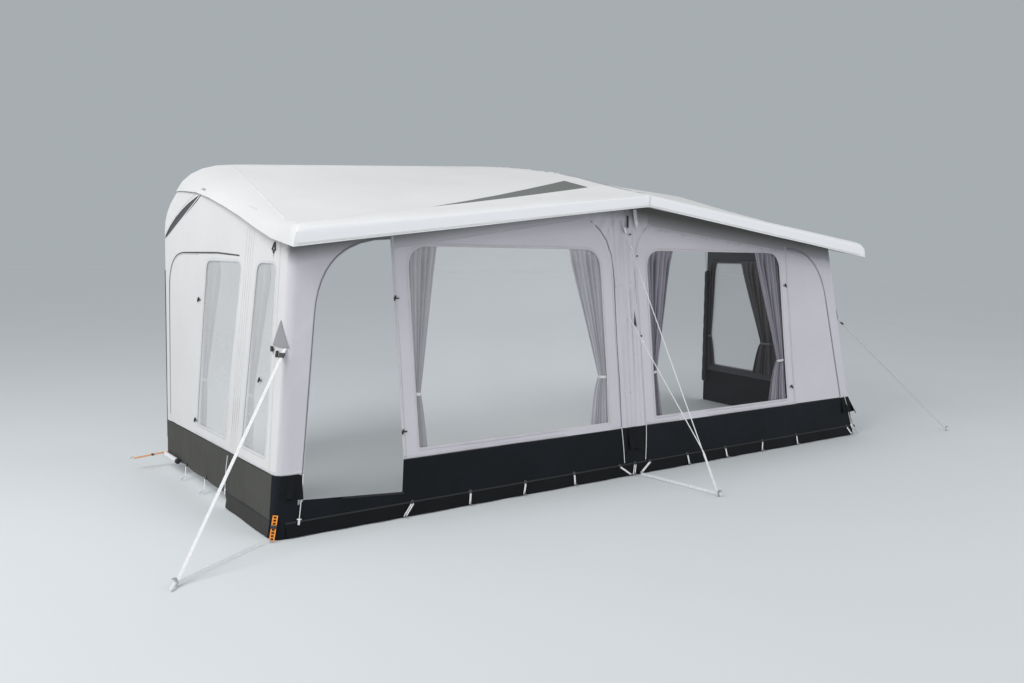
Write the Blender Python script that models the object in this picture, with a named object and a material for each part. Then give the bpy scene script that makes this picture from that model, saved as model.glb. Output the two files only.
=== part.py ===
"""Air-framed caravan awning: cloth envelope, air beams, doors, windows, curtains, skirts and straps.

X runs along the caravan, -Y points away from it and Z is up. The origin is on the ground, halfway
between the caravan's side and the front edge of the canopy. All lengths are in metres.
"""
import math

import bpy
from mathutils import Matrix, Vector
from mathutils.geometry import delaunay_2d_cdt

# Plan and heights
half_front = 3.125
half_rear = 3.27
wall_depth = 2.286
canopy_lip = 0.044
canopy_reach = wall_depth + canopy_lip
skirt_height = 0.40
eave_height = 1.87
peak_height = 2.24
rear_eave_height = 2.31
ridge_height = 2.73
peak_rise = 0.097
ridge_front_height = peak_height + peak_rise
side_band_height = 0.25
shoulder_rear_half = 2.69
shoulder_front_half = 2.93
rail_round_radius = 0.554
rail_round_start = 1.98
rail_round_fade = 1.2
roof_sag = 0.045
corner_radius = 0.07

# Lean of the walls, in metres per metre of height
front_lean = 0.138
corner_lean = 0.12
rear_lean = 0.0119

# Cloth and clearances
cloth = 0.003
film = 0.0015
gap = 0.0003
curved_gap = 0.0008
film_lap = 0.012
roof_clearance = 0.006
eave_overhang = 0.014
canopy_overhang = 0.115
wall_tuck = 0.010
beam_clearance = 0.0026
beam_roof_clearance = 0.0065
bead_radius = 0.0035
surface_step = 0.30
probe_step = 0.001

# Roof seams
inset_apex_setback = 0.89
canopy_apex_setback = 0.55
inset_foot_half = 1.78
inset_foot_setback = 0.44
ridge_band_half = 0.20
canopy_side_setback = 0.07
nose_depth = 0.07
valance_height = 0.085
nose_steps = 5

# Front walls, windows and doors
door_seam_half = 2.173
centre_cover_half = 0.145
centre_flare_half = 0.34
centre_flare_drop = 0.16
centre_flare_run = 0.46
centre_flare_top = peak_height - centre_flare_drop
centre_flare_start = centre_flare_top - centre_flare_run
centre_flare_power = 2.2
flare_step = 0.08
centre_pleat = 0.009
centre_pleats = 3
cover_lift = 0.003
leg_face_foot = 2.955
leg_face_lean = 0.142
arch_leg_height = 1.42
arch_top_height = 1.93
sill_height = 0.20
door_gap = 0.004
hinge_height = 1.10
front_hinge_stand = 0.001
side_hinge_stand = 0.0025
window_outer_half = 2.046
window_inner_half = 0.265
window_bottom = 0.462
window_top = 1.89
window_round = 0.09
window_foot_round = 0.02
corner_cover_side = 0.12

# Side walls: distances are measured forward from the caravan
side_door_rear = 0.10
side_door_front = 0.66
side_door_top = 1.80
side_door_round = 0.30
left_rear_window = ((0.735, 1.32), (0.82, 1.40))
left_front_window = ((1.63, 2.03), (1.64, 1.905))
right_rear_window = ((0.10, 1.14), (0.10, 1.12))
right_front_window = left_front_window
side_window_bottom = 0.49
side_window_top = 1.755
side_window_round = 0.07
gusset_drop = 0.375
gusset_foot_height = rear_eave_height - gusset_drop
gusset_front = 0.66
gusset_slot = 0.02
gusset_bow = 0.055
gusset_wall_bow = 0.012

# Air frame
beam_radius = 0.06
beam_sides = 10
canopy_beam_radius = 0.033
canopy_beam_drop = 0.018
beam_foot = 0.0112
beam_bend_height = 1.60
centre_bend_drop = 0.09
centre_bend_height = peak_height - centre_bend_drop
beam_rear_clearance = 0.05
beam_drop = 0.09
valve_height = 0.45
valve_flange_radius = 0.022
valve_flange = 0.004
valve_neck_radius = 0.014
valve_neck = 0.014
valve_recess_radius = 0.009
valve_recess = 0.003
cap_radius = 0.016
cap_thickness = 0.006
cap_lug = 0.006
pad_rear = 0.014
pad_width = 0.08
pad_thickness = 0.045
pad_foot_height = 0.25
pad_top_height = 1.66

# Curtains
curtain_cloth = 0.003
curtain_drop = 0.03
curtain_header = 0.055
curtain_stand_off = 0.012
curtain_fold = 0.022
curtain_folds = 6
curtain_tie_height = 0.84

curtain_top_width = 0.31
curtain_tie_width = 0.09
curtain_outer_foot_width = 0.12
curtain_inner_foot_width = 0.14
curtain_edge_lap = 0.01

# Side curtains: (rear, front) edges at the top, at the tie-back and at the foot
left_rear_curtain = ((0.80, 1.02), (0.77, 0.84), (0.745, 0.86))
left_front_curtain = ((1.62, 1.80), (1.64, 1.70), (1.62, 1.76))
right_rear_curtain = ((0.09, 0.21), (0.10, 0.15), (0.10, 0.22))
right_middle_curtain = ((0.66, 1.13), (0.98, 1.07), (0.88, 1.13))

# Straps and pegs
strap_width = 0.025
strap_thickness = 0.002
guy_radius = 0.004
strap_anchor_height = 1.21
strap_peg_halves = {-1: 3.80, 1: 4.16}
strap_peg_out = 2.70
centre_peg_half = 0.10
centre_peg_out = 3.10
upper_guy_drop = 0.12
upper_guy_height = peak_height - upper_guy_drop
lower_guy_height = 1.33
peg_height = 0.05
peg_width = 0.022
peg_thickness = 0.004
slider_length = 0.034
slider_wall = 0.004
slider_play = 0.0004
rear_peg_reach = 0.30
corner_peg_reach = 0.045
corner_strap_height = 0.13
rear_strap_height = 0.055
strap_ground_clearance = 0.004
rear_strap_room = 0.0012

# Places along the depth, as shares of the canopy's reach, with the fall of each roof line there
station_shares = (0.0, 0.27, 0.545, 0.82, 1.0)
eave_fall_shares = (0.0, 0.10, 0.44, 0.85, 1.0)
ridge_fall_shares = (0.0, 0.18, 0.43, 0.79, 1.0)
band_shares = (1.0, 0.5, 0.44, 0.48, 0.56)
roof_top_share = 0.90
roof_knee_share = 0.78
beam_station_shares = (0.86, 0.74, 0.60, 0.45, 0.30, 0.15)
canopy_beam_share = 0.97
nose_room_share = 0.15
strap_slider_share = 0.035
strap_seat_share = 0.40
centre_slider_shares = {"upper": 0.12, "lower": 0.20}
meeting_share = 0.86
guy_lift_share = 1.35

cloth_half = cloth / 2
half_depth = (canopy_reach + cloth_half) / 2
front_foot = half_depth - wall_depth
roof_half = half_rear
seam_half = gap / 2
roof_seam_half = curved_gap / 2
bead_room = 2 * bead_radius + gap
roof_front = canopy_reach - nose_depth
inset_apex_depth = canopy_reach - inset_apex_setback
canopy_apex_depth = canopy_reach - canopy_apex_setback
inset_foot_depth = canopy_reach - inset_foot_setback
canopy_side_depth = canopy_reach - canopy_side_setback
beam_flat = beam_radius * math.cos(math.pi / beam_sides)
centre_stand = beam_flat + cloth_half + curved_gap


def clear_scene():
    for item in list(bpy.data.objects):
        bpy.data.objects.remove(item, do_unlink=True)


def make_material(name, colour, roughness, metallic=0.0, alpha=1.0):
    material = bpy.data.materials.new(name)
    material.use_nodes = True
    shader = material.node_tree.nodes["Principled BSDF"]
    shader.inputs["Base Color"].default_value = (*colour, 1.0)
    shader.inputs["Roughness"].default_value = roughness
    shader.inputs["Metallic"].default_value = metallic
    shader.inputs["Alpha"].default_value = alpha
    return material


clear_scene()
roof_white = make_material("roof_cloth", (0.86, 0.87, 0.88), 0.55)
wall_grey = make_material("wall_cloth", (0.60, 0.60, 0.66), 0.75)
side_white = make_material("side_cloth", (0.80, 0.80, 0.81), 0.7)
inset_grey = make_material("inset_cloth", (0.09, 0.10, 0.09), 0.8)
skirt_black = make_material("skirt_cloth", (0.025, 0.028, 0.035), 0.6)
window_film = make_material("window_film", (0.75, 0.76, 0.77), 0.08, alpha=0.3)
curtain_grey = make_material("curtain_cloth", (0.32, 0.31, 0.36), 0.85)
beam_grey = make_material("beam_sleeve", (0.45, 0.46, 0.48), 0.6)
foam_black = make_material("foam_pad", (0.02, 0.02, 0.022), 0.9)
webbing_white = make_material("white_webbing", (0.82, 0.82, 0.82), 0.7)
webbing_orange = make_material("orange_webbing", (0.90, 0.33, 0.03), 0.6)
plastic_black = make_material("black_plastic", (0.02, 0.02, 0.02), 0.4)
plastic_white = make_material("white_plastic", (0.80, 0.80, 0.80), 0.4)
peg_steel = make_material("peg_steel", (0.55, 0.56, 0.58), 0.35, metallic=1.0)


# Surfaces of the envelope

def blend(low, high, share):
    return low + (high - low) * share


def along(depth, shares):
    """Share at a distance forward of the caravan, smooth between the stations."""
    place = min(max(depth / canopy_reach, 0.0), 1.0)
    last = len(station_shares) - 2
    step = max(i for i in range(last + 1) if station_shares[i] <= place)
    width = station_shares[step + 1] - station_shares[step]
    t = (place - station_shares[step]) / width

    def slope(i):
        low, high = max(i - 1, 0), min(i + 1, last + 1)
        return (shares[high] - shares[low]) / (station_shares[high] - station_shares[low]) * width

    rise = t * t * (3 - 2 * t)
    return (blend(shares[step], shares[step + 1], rise)
            + slope(step) * t * (1 - t) ** 2 - slope(step + 1) * t * t * (1 - t))


def corner(z):
    """Sharp left front corner of the walls at a height, as (x, y)."""
    return Vector((-(half_front - corner_lean * z), front_foot + front_lean * z))


def rear_edge(z):
    return Vector((-(half_rear - rear_lean * z), half_depth))


def side_length(z):
    return (corner(z) - rear_edge(z)).length


def rail_inset(depth, z):
    """How far the top of a side wall's rear edge turns in with the caravan rail's round corner."""
    rise = min(max(z - rail_round_start, 0.0), rail_round_radius)
    bend = rail_round_radius - math.sqrt(rail_round_radius ** 2 - rise ** 2)
    return bend * max(1.0 - depth / rail_round_fade, 0.0) ** 2


def shell(side, reach, z):
    """Wall surface. reach is metres from the front corner: below 0 on the side, above on the front."""
    tip = corner(z)
    back = (rear_edge(z) - tip).normalized()
    if reach <= -corner_radius:
        flat = tip + back * -reach
        flat.x += rail_inset(side_length(z) + reach, z)
    elif reach >= corner_radius:
        flat = Vector((tip.x + reach, tip.y))
    else:
        t = (reach + corner_radius) / (2 * corner_radius)
        start = tip + back * corner_radius
        end = Vector((tip.x + corner_radius, tip.y))
        flat = start * (1 - t) ** 2 + tip * 2 * t * (1 - t) + end * t * t
    return Vector((flat.x * -side, flat.y, z))


def front_wall(side):
    """Surface over (distance from the centre line, height) on one half of the front."""
    def surface(u, z):
        return shell(side, -corner(z).x - u, z)
    return surface


def whole_front(u, z):
    side = -1 if u < 0 else 1
    return front_wall(side)(abs(u), z)


def side_wall(side):
    """Surface over (distance forward of the caravan, height) on one side."""
    def surface(u, z):
        return shell(side, u - side_length(z), z)
    return surface


def corner_wall(side):
    """Surface over (reach from the front corner, height)."""
    def surface(u, z):
        return shell(side, u, z)
    return surface


def eave_z(depth):
    return blend(rear_eave_height, eave_height, along(depth, eave_fall_shares))


def ridge_z(depth):
    return blend(ridge_height, ridge_front_height, along(depth, ridge_fall_shares))


def eave_half(depth):
    z = eave_z(depth)
    tip, back = corner(z), rear_edge(z)
    flat = -blend(back.x, tip.x, depth / side_length(z))
    spread = canopy_overhang * (depth / canopy_reach) ** 2
    return flat - rail_inset(depth, z) + eave_overhang + spread


def shoulder(depth):
    half = blend(shoulder_rear_half, shoulder_front_half, depth / canopy_reach)
    band = side_band_height * along(depth, band_shares)
    return Vector((half, eave_z(depth) + band))


def roof_section(w, depth):
    """Half section of the roof: (distance from the ridge plane, height) at a signed place w."""
    share = min(abs(w) / roof_half, 1.0)
    top = ridge_z(depth)
    edge = shoulder(depth)
    if share <= roof_top_share:
        t = share / roof_top_share
        sag = roof_sag * 4 * t * (1 - t) * math.sin(math.pi * min(depth / roof_front, 1.0))
        return Vector((edge.x * t, blend(top, edge.y, t) - sag))
    t = (share - roof_top_share) / (1 - roof_top_share)
    foot = Vector((eave_half(depth), eave_z(depth)))
    knee_x = blend(edge.x, foot.x, roof_knee_share)
    knee = Vector((knee_x, edge.y + (edge.y - top) / edge.x * (knee_x - edge.x)))
    return edge * (1 - t) ** 2 + knee * 2 * t * (1 - t) + foot * t * t


def roof(w, depth):
    """Roof surface over (place across, distance forward of the caravan)."""
    flat = roof_section(w, depth)
    return Vector((math.copysign(flat.x, w), half_depth - depth, flat.y))


def valance_foot(x):
    return blend(peak_height, eave_height, min(abs(x) / eave_half(canopy_reach), 1.0))


def canopy(w, run):
    """Canopy surface: the roof up to its front, then over the nose and down the valance."""
    if run <= roof_front:
        return roof(w, run)
    start = roof_section(w, roof_front)
    tip = roof_section(w, canopy_reach)
    foot = valance_foot(tip.x)
    drop = min(max(tip.y - foot, 0.0), valance_height)
    low = Vector((half_depth - canopy_reach, foot + drop))
    high = Vector((half_depth - roof_front, start.y))
    knee = Vector((half_depth - canopy_reach, tip.y))
    t = min((run - roof_front) / nose_depth, 1.0)
    flat = high * (1 - t) ** 2 + knee * 2 * t * (1 - t) + low * t * t
    down = max(run - canopy_reach, 0.0) / valance_height
    z = flat.y - drop * min(down, 1.0)
    return Vector((math.copysign(blend(start.x, tip.x, t), w), flat.x, z))


def roof_under(x, depth):
    """Height of the roof's underside at a distance x from the ridge plane."""
    low, high = 0.0, roof_half
    while high - low > gap:
        middle = (low + high) / 2
        if roof_section(middle, depth).x < abs(x):
            low = middle
        else:
            high = middle
    return roof_section(low, depth).y - cloth_half


def header_top(x):
    """Top of the front wall under the roof at a distance x from the centre line."""
    z = peak_height
    while True:
        depth = half_depth - (front_foot + front_lean * z)
        new_z = roof_under(x, depth) - roof_clearance
        if abs(new_z - z) < gap:
            return new_z
        z = new_z


def pushed(surface, u, v, out, towards):
    """Point of a surface moved out along its normal, which points the way of towards."""
    here = surface(u, v)
    normal = (surface(u + probe_step, v) - surface(u - probe_step, v)).cross(
        surface(u, v + probe_step) - surface(u, v - probe_step)).normalized()
    if normal.dot(towards) < 0:
        normal = -normal
    return here + normal * out


# Outlines

def turn_area(points):
    total = 0.0
    for i, here in enumerate(points):
        after = points[(i + 1) % len(points)]
        total += here[0] * after[1] - after[0] * here[1]
    return total / 2


def inset(points, distance):
    """Outline moved inward by a distance; a negative distance grows it."""
    if turn_area(points) < 0:
        points = points[::-1]
    result = []
    for i, here in enumerate(points):
        here = Vector(here)
        before = (here - Vector(points[i - 1])).normalized()
        after = (Vector(points[(i + 1) % len(points)]) - here).normalized()
        normal_in = Vector((-before.y, before.x))
        normal_out = Vector((-after.y, after.x))
        mitre = normal_in + normal_out
        result.append(here + mitre * (distance / max(mitre.dot(normal_in), probe_step)))
    return [tuple(point) for point in result]


def rounded(points, radii, steps=5):
    """Closed outline whose corners are rounded by a list of radii."""
    result = []
    for i, here in enumerate(points):
        here = Vector(here)
        if radii[i] == 0:
            result.append(tuple(here))
            continue
        before = (Vector(points[i - 1]) - here).normalized() * radii[i]
        after = (Vector(points[(i + 1) % len(points)]) - here).normalized() * radii[i]
        for n in range(steps + 1):
            t = n / steps
            spot = (here + before) * (1 - t) ** 2 + here * 2 * t * (1 - t) + (here + after) * t * t
            result.append(tuple(spot))
    return result


def grid(low, high, step=surface_step):
    count = max(round((high - low) / step), 1)
    return [blend(low, high, n / count) for n in range(count + 1)]


def divided(points, us, vs):
    """Outline with a point added wherever it crosses a grid line."""
    result = []
    for i, here in enumerate(points):
        after = points[(i + 1) % len(points)]
        length = math.dist(here, after)
        shares = []
        for axis, lines in ((0, us), (1, vs)):
            span = after[axis] - here[axis]
            if abs(span) > probe_step:
                shares += [(line - here[axis]) / span for line in lines]
        margin = surface_step / 12 / length
        result.append(tuple(here))
        last = 0.0
        for share in sorted(shares):
            if last + margin < share < 1 - margin:
                result.append((blend(here[0], after[0], share), blend(here[1], after[1], share)))
                last = share
    return result


def inside(point, loop):
    hit = False
    for i, here in enumerate(loop):
        before = loop[i - 1]
        if (here[1] > point[1]) != (before[1] > point[1]):
            cross = blend(here[0], before[0], (point[1] - here[1]) / (before[1] - here[1]))
            if point[0] < cross:
                hit = not hit
    return hit


def edge_distance(point, loops):
    least = roof_half
    for loop in loops:
        for i, here in enumerate(loop):
            start, end = Vector(loop[i - 1]), Vector(here)
            run = end - start
            t = min(max((Vector(point) - start).dot(run) / run.length_squared, 0.0), 1.0)
            least = min(least, (start + run * t - Vector(point)).length)
    return least


# Solids

def add_object(name, verts, faces, material, smooth_angle=35.0):
    mesh = bpy.data.meshes.new(name)
    mesh.from_pydata([tuple(vert) for vert in verts], [], faces)
    mesh.materials.append(material)
    mesh.update()
    mesh.shade_smooth()
    mesh.set_sharp_from_angle(angle=math.radians(smooth_angle))
    item = bpy.data.objects.new(name, mesh)
    bpy.context.scene.collection.objects.link(item)
    return item


def volume_of(verts, faces):
    total = 0.0
    for face in faces:
        for i in range(1, len(face) - 1):
            total += verts[face[0]].dot(verts[face[i]].cross(verts[face[i + 1]]))
    return total / 6


def set_origin(item, point):
    """Puts an object's origin at a point without moving its shape."""
    item.data.transform(Matrix.Translation(-point))
    item.location = point


def closed_object(name, verts, faces, material, smooth_angle=35.0):
    """Object whose faces are turned to point out."""
    verts = [Vector(vert) for vert in verts]
    if volume_of(verts, faces) < 0:
        faces = [face[::-1] for face in faces]
    return add_object(name, verts, faces, material, smooth_angle)


def sheet(name, material, surface, outline, us, vs, towards, holes=(), thickness=cloth, out=0.0,
          seam=seam_half):
    """Closed cloth or film solid on a surface, cut to an outline with holes."""
    loops = [divided(inset(outline, seam), us, vs)]
    loops += [divided(inset(hole, -seam), us, vs) for hole in holes]
    spots = []
    edges = []
    for loop in loops:
        first = len(spots)
        spots += loop
        edges += [(first + i, first + (i + 1) % len(loop)) for i in range(len(loop))]
    for u in us:
        for v in vs:
            clear = inside((u, v), loops[0]) and not any(inside((u, v), loop) for loop in loops[1:])
            if clear and edge_distance((u, v), loops) > surface_step / 8:
                spots.append((u, v))
    flat, _, triangles, *_ = delaunay_2d_cdt([Vector(spot) for spot in spots], edges, [], 1, gap / 30)
    kept = []
    for triangle in triangles:
        middle = sum((flat[i] for i in triangle), Vector((0.0, 0.0))) / 3
        if inside(middle, loops[0]) and not any(inside(middle, loop) for loop in loops[1:]):
            kept.append(list(triangle))
    count = len(flat)
    verts = [pushed(surface, p[0], p[1], out + thickness / 2, towards) for p in flat]
    verts += [pushed(surface, p[0], p[1], out - thickness / 2, towards) for p in flat]
    faces = [triangle for triangle in kept]
    faces += [[i + count for i in reversed(triangle)] for triangle in kept]
    used = {}
    for triangle in kept:
        for i in range(3):
            used[(triangle[i], triangle[(i + 1) % 3])] = True
    for a, b in used:
        if (b, a) not in used:
            faces.append([b, a, a + count, b + count])
    return closed_object(name, verts, faces, material)


def lofted(name, material, rings, smooth_angle=40.0, folded=False):
    """Solid through rings of equal point counts; a folded one's rings go out and back on two rows."""
    size = len(rings[0])
    verts = [point for ring in rings for point in ring]
    faces = []
    for r in range(len(rings) - 1):
        low, high = r * size, (r + 1) * size
        for i in range(size):
            j = (i + 1) % size
            if folded and i < size // 2:
                faces += [[low + i, low + j, high + i], [low + j, high + j, high + i]]
            elif folded:
                faces += [[low + i, low + j, high + j], [low + i, high + j, high + i]]
            else:
                faces.append([low + i, low + j, high + j, high + i])
    last = len(verts) - size
    if not folded:
        faces.append(list(range(size))[::-1])
        faces.append([last + i for i in range(size)])
        return closed_object(name, verts, faces, material, smooth_angle)
    for i in range(size // 2 - 1):
        j, k = size - 1 - i, size - 2 - i
        faces += [[i, j, k], [i, k, i + 1], [last + i, last + k, last + j], [last + i, last + i + 1, last + k]]
    return closed_object(name, verts, faces, material, smooth_angle)


def smooth_route(points, count, passes=3):
    """Even points along a route whose corners are cut round, so it never swings outside them."""
    fine = [Vector(point) for point in points]
    for _ in range(passes):
        cut = [fine[0]]
        for before, here in zip(fine, fine[1:]):
            cut += [before.lerp(here, 0.25), before.lerp(here, 0.75)]
        fine = cut + [fine[-1]]
    runs = [0.0]
    for before, here in zip(fine, fine[1:]):
        runs.append(runs[-1] + (here - before).length)
    result = []
    spot = 0
    for n in range(count):
        target = runs[-1] * n / (count - 1)
        while spot < len(runs) - 2 and runs[spot + 1] < target:
            spot += 1
        span = runs[spot + 1] - runs[spot]
        result.append(fine[spot].lerp(fine[spot + 1], (target - runs[spot]) / span))
    return result


def tube(name, material, points, radius, resolution=2):
    """Round tube along a route, as a bevelled curve with filled caps."""
    curve = bpy.data.curves.new(name, "CURVE")
    curve.dimensions = "3D"
    curve.bevel_depth = radius
    curve.bevel_resolution = resolution
    curve.use_fill_caps = True
    spline = curve.splines.new("POLY")
    spline.points.add(len(points) - 1)
    for spot, point in zip(spline.points, points):
        spot.co = (*point, 1.0)
    curve.materials.append(material)
    item = bpy.data.objects.new(name, curve)
    bpy.context.scene.collection.objects.link(item)
    return item


def frame_of(direction, up):
    """Side and up directions square to a direction."""
    across = direction.cross(up).normalized()
    return across, across.cross(direction).normalized()


def ribbon(name, material, points, up, width=strap_width, thickness=strap_thickness):
    """Flat webbing along a route; up is roughly square to its face."""
    rings = []
    for i, point in enumerate(points):
        direction = (points[min(i + 1, len(points) - 1)] - points[max(i - 1, 0)]).normalized()
        across, face = frame_of(direction, up)
        rings.append([point + across * width / 2 * a + face * thickness / 2 * b
                      for a, b in ((-1, -1), (1, -1), (1, 1), (-1, 1))])
    return lofted(name, material, rings)


# Directions that tell a surface which way is out
FRONT = Vector((0.0, -1.0, 0.0))
UP = Vector((0.0, 0.0, 1.0))
SIDES = {-1: Vector((-1.0, 0.0, 0.0)), 1: Vector((1.0, 0.0, 0.0))}
NAMES = {-1: "left", 1: "right"}


# Roof

def across_grid():
    flat_half = roof_half * roof_top_share
    flat = grid(0.0, flat_half, surface_step * 1.3)
    knee = grid(flat_half, roof_half, (roof_half - flat_half) / 5)
    half = flat + knee[1:]
    return [-w for w in half[:0:-1]] + half


def place_across(x, depth):
    """Signed place across the roof for a distance x from the ridge plane."""
    return math.copysign(abs(x) / shoulder(depth).x * roof_half * roof_top_share, x)


def roof_seams(side):
    """Corner points of one half's seams, in (place across, depth)."""
    return {
        "apex_rear": (side * ridge_band_half, inset_apex_depth),
        "apex_front": (side * ridge_band_half, canopy_apex_depth),
        "foot": (place_across(side * inset_foot_half, inset_foot_depth), inset_foot_depth),
        "corner": (side * roof_half, canopy_side_depth),
    }


def build_roof():
    us = across_grid()
    vs = grid(bead_room, roof_front)
    left, right = roof_seams(-1), roof_seams(1)
    outline = [(-roof_half, bead_room), (roof_half, bead_room), right["corner"], right["foot"],
               right["apex_rear"], right["apex_front"], left["apex_front"], left["apex_rear"],
               left["foot"], left["corner"]]
    sheet("roof_panel", roof_white, roof, outline, us, vs, UP, seam=roof_seam_half)
    for side, seams in ((-1, left), (1, right)):
        sheet(f"roof_inset_{NAMES[side]}", inset_grey, roof,
              [seams["apex_rear"], seams["apex_front"], seams["foot"]], us, vs, UP,
              seam=roof_seam_half)
    run_end = canopy_reach + valance_height
    nose = grid(roof_front, canopy_reach, nose_depth / nose_steps)
    outline = [left["corner"], left["foot"], left["apex_front"], right["apex_front"], right["foot"],
               right["corner"], (roof_half, run_end), (-roof_half, run_end)]
    sheet("front_canopy", roof_white, canopy, outline, us, vs[:-1] + nose + [run_end],
          Vector((0.0, -1.0, 1.0)), seam=roof_seam_half)


def build_rail_bead():
    """Keder bead up one rear edge, over the roof's rear edge and down the other."""
    def rear_post(side):
        heights = grid(skirt_height, eave_z(0.0) - wall_tuck, 0.2 * roof_half)
        return [Vector((side_wall(side)(0.0, z).x, half_depth - bead_radius, z)) for z in heights]

    over = []
    for w in across_grid():
        spot = roof(w, 0.0)
        over.append(Vector((spot.x, half_depth - bead_radius, spot.z)))
    route = rear_post(-1) + over + rear_post(1)[::-1]
    tube("rail_bead", webbing_white, smooth_route(route, 80), bead_radius)


# Front

def flare():
    """Edge beside the centre leg: straight, then curving out under the roof."""
    points = [(flare_half(z), z) for z in grid(centre_flare_start, centre_flare_top, flare_step)]
    return points + [(centre_flare_half, header_top(centre_flare_half))]


def arch(half_shift, z_shift):
    """Curved top of a front doorway, from the leg's side up to the seam by the window."""
    start = Vector((leg_side(arch_leg_height) - half_shift, arch_leg_height))
    end = Vector((door_seam_half, arch_top_height - z_shift))
    knee = Vector((leg_side(arch_top_height) - half_shift * 2, end.y))
    points = []
    for n in range(9):
        t = n / 8
        spot = start * (1 - t) ** 2 + knee * 2 * t * (1 - t) + end * t * t
        points.append((spot.x, spot.y))
    return points


def leg_side(z):
    """Distance of the corner legs' inner edge from the centre line at a height."""
    return leg_face_foot - leg_face_lean * z


def leg_top():
    """Height at which the corner legs' inner edge meets the roof."""
    z = eave_height
    for _ in range(24):
        z = header_top(leg_side(z))
    return z


def cover_top():
    """Height at which the corner covers' seam on the side wall meets the eave."""
    z = eave_height
    for _ in range(24):
        z = eave_z(side_length(z) - corner_cover_side) + wall_tuck
    return z


def top_line(low, high):
    """Points under the roof from a smaller to a larger distance from the centre line."""
    return [(x, header_top(x)) for x in grid(low, high)]


def window_outline(lap=0.0):
    low, high = window_inner_half - lap, window_outer_half + lap
    points = [(low, window_bottom - lap), (high, window_bottom - lap),
              (high, window_top + lap), (low, window_top + lap)]
    radii = [window_foot_round, window_foot_round, window_round + lap, window_round + lap]
    return rounded(points, radii)


def build_front_wall(side):
    name = NAMES[side]
    us, vs = grid(0.0, half_front), grid(0.0, ridge_height)
    edge = flare()
    outline = [(centre_cover_half, skirt_height), (door_seam_half, skirt_height)]
    outline += top_line(edge[-1][0], door_seam_half)[::-1]
    outline += edge[:-1][::-1]
    sheet(f"wall_front_{name}", wall_grey, front_wall(side), outline, us, vs, FRONT,
          holes=[window_outline()])
    sheet(f"window_front_{name}", window_film, front_wall(side), window_outline(film_lap), us, vs,
          FRONT, thickness=film, out=-(cloth_half + gap + film / 2))
    outline = arch(0.0, 0.0) + top_line(door_seam_half, leg_side(leg_top()))
    sheet(f"door_header_{name}", wall_grey, front_wall(side), outline, us, vs, FRONT)


def build_front_door():
    side = 1
    us, vs = grid(0.0, half_front), grid(0.0, ridge_height)
    foot_half = leg_side(skirt_height) - door_gap
    outline = [(door_seam_half, skirt_height + door_gap), (foot_half, skirt_height + door_gap)]
    outline += arch(door_gap, door_gap)
    door = sheet("door_front_right", wall_grey, front_wall(side), outline, us, vs, FRONT)
    set_origin(door, pushed(front_wall(side), door_seam_half, hinge_height, cloth_half + front_hinge_stand,
                            FRONT))


def flare_half(z):
    """Half width of the centre cover at a height."""
    t = min(max((z - centre_flare_start) / (centre_flare_top - centre_flare_start), 0.0), 1.0)
    return centre_cover_half + (centre_flare_half - centre_cover_half) * t ** centre_flare_power


def pleated(u, z):
    """Front surface at the centre leg, with pleats that stand out and fan out with the cover."""
    share = u / flare_half(z)
    lift = centre_pleat * (0.5 - 0.5 * math.cos(2 * math.pi * share * centre_pleats))
    return whole_front(u, z) + FRONT * lift


def build_leg_covers():
    us = grid(-corner_cover_side, -corner_radius) + grid(-corner_radius, corner_radius,
                                                         corner_radius / 3)[1:]
    us += [half_front / 12]
    vs = grid(skirt_height, ridge_height)
    for side in (-1, 1):
        edge = []
        for z in grid(skirt_height, arch_leg_height) + [leg_top()]:
            edge.append((-corner(z).x - leg_side(z), z))
        top = []
        for reach in grid(corner_radius, edge[-1][0], surface_step / 3)[-2::-1]:
            top.append((reach, header_top(-corner(leg_top()).x - reach)))
        side_top = cover_top()
        top += [(-corner_radius, side_top), (-corner_cover_side, side_top)]
        outline = [(-corner_cover_side, skirt_height)] + edge + top
        sheet(f"leg_cover_{NAMES[side]}", side_white, corner_wall(side), outline, us, vs,
              (FRONT + SIDES[side]).normalized())
    half = flare()
    foot = skirt_height + cover_lift
    outline = [(centre_cover_half, foot)] + half + [(0.0, header_top(0.0))]
    outline += [(-x, z) for x, z in half[::-1]] + [(-centre_cover_half, foot)]
    us = grid(-centre_flare_half, centre_flare_half, centre_cover_half / centre_pleats / 4)
    sheet("leg_cover_centre", wall_grey, pleated, outline, us, vs[::2], FRONT)


# Sides

def side_window(limits, lap=0.0):
    """Outline of a side window from its (rear, front) limits at its bottom and at its top."""
    foot, head = limits
    points = [(foot[0] - lap, side_window_bottom - lap), (foot[1] + lap, side_window_bottom - lap),
              (head[1] + lap, side_window_top + lap), (head[0] - lap, side_window_top + lap)]
    radii = [window_foot_round, window_foot_round, side_window_round, side_window_round]
    return rounded(points, radii)


def side_door_outline(clearance):
    rear, front = side_door_rear + clearance, side_door_front
    top = side_door_top - clearance
    points = [(rear, skirt_height + clearance), (front, skirt_height + clearance), (front, top),
              (rear, top)]
    return rounded(points, [0.0, 0.0, 0.0, side_door_round])


def side_eave(low, high):
    return [(depth, eave_z(depth) + wall_tuck) for depth in grid(low, high)]


def slot_edge(shift, bow, steps=6):
    """Edge beside the gusset's slot, from the eave down to the rear edge, bowed out of straight."""
    start = Vector((gusset_front + shift, eave_z(gusset_front + shift) + wall_tuck))
    end = Vector((bead_room, gusset_foot_height - shift))
    run = (end - start).normalized()
    square = Vector((run.y, -run.x))
    points = []
    for n in range(steps + 1):
        t = n / steps
        spot = start.lerp(end, t) + square * bow * math.sin(math.pi * t)
        points.append((spot.x, spot.y))
    return points


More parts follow.
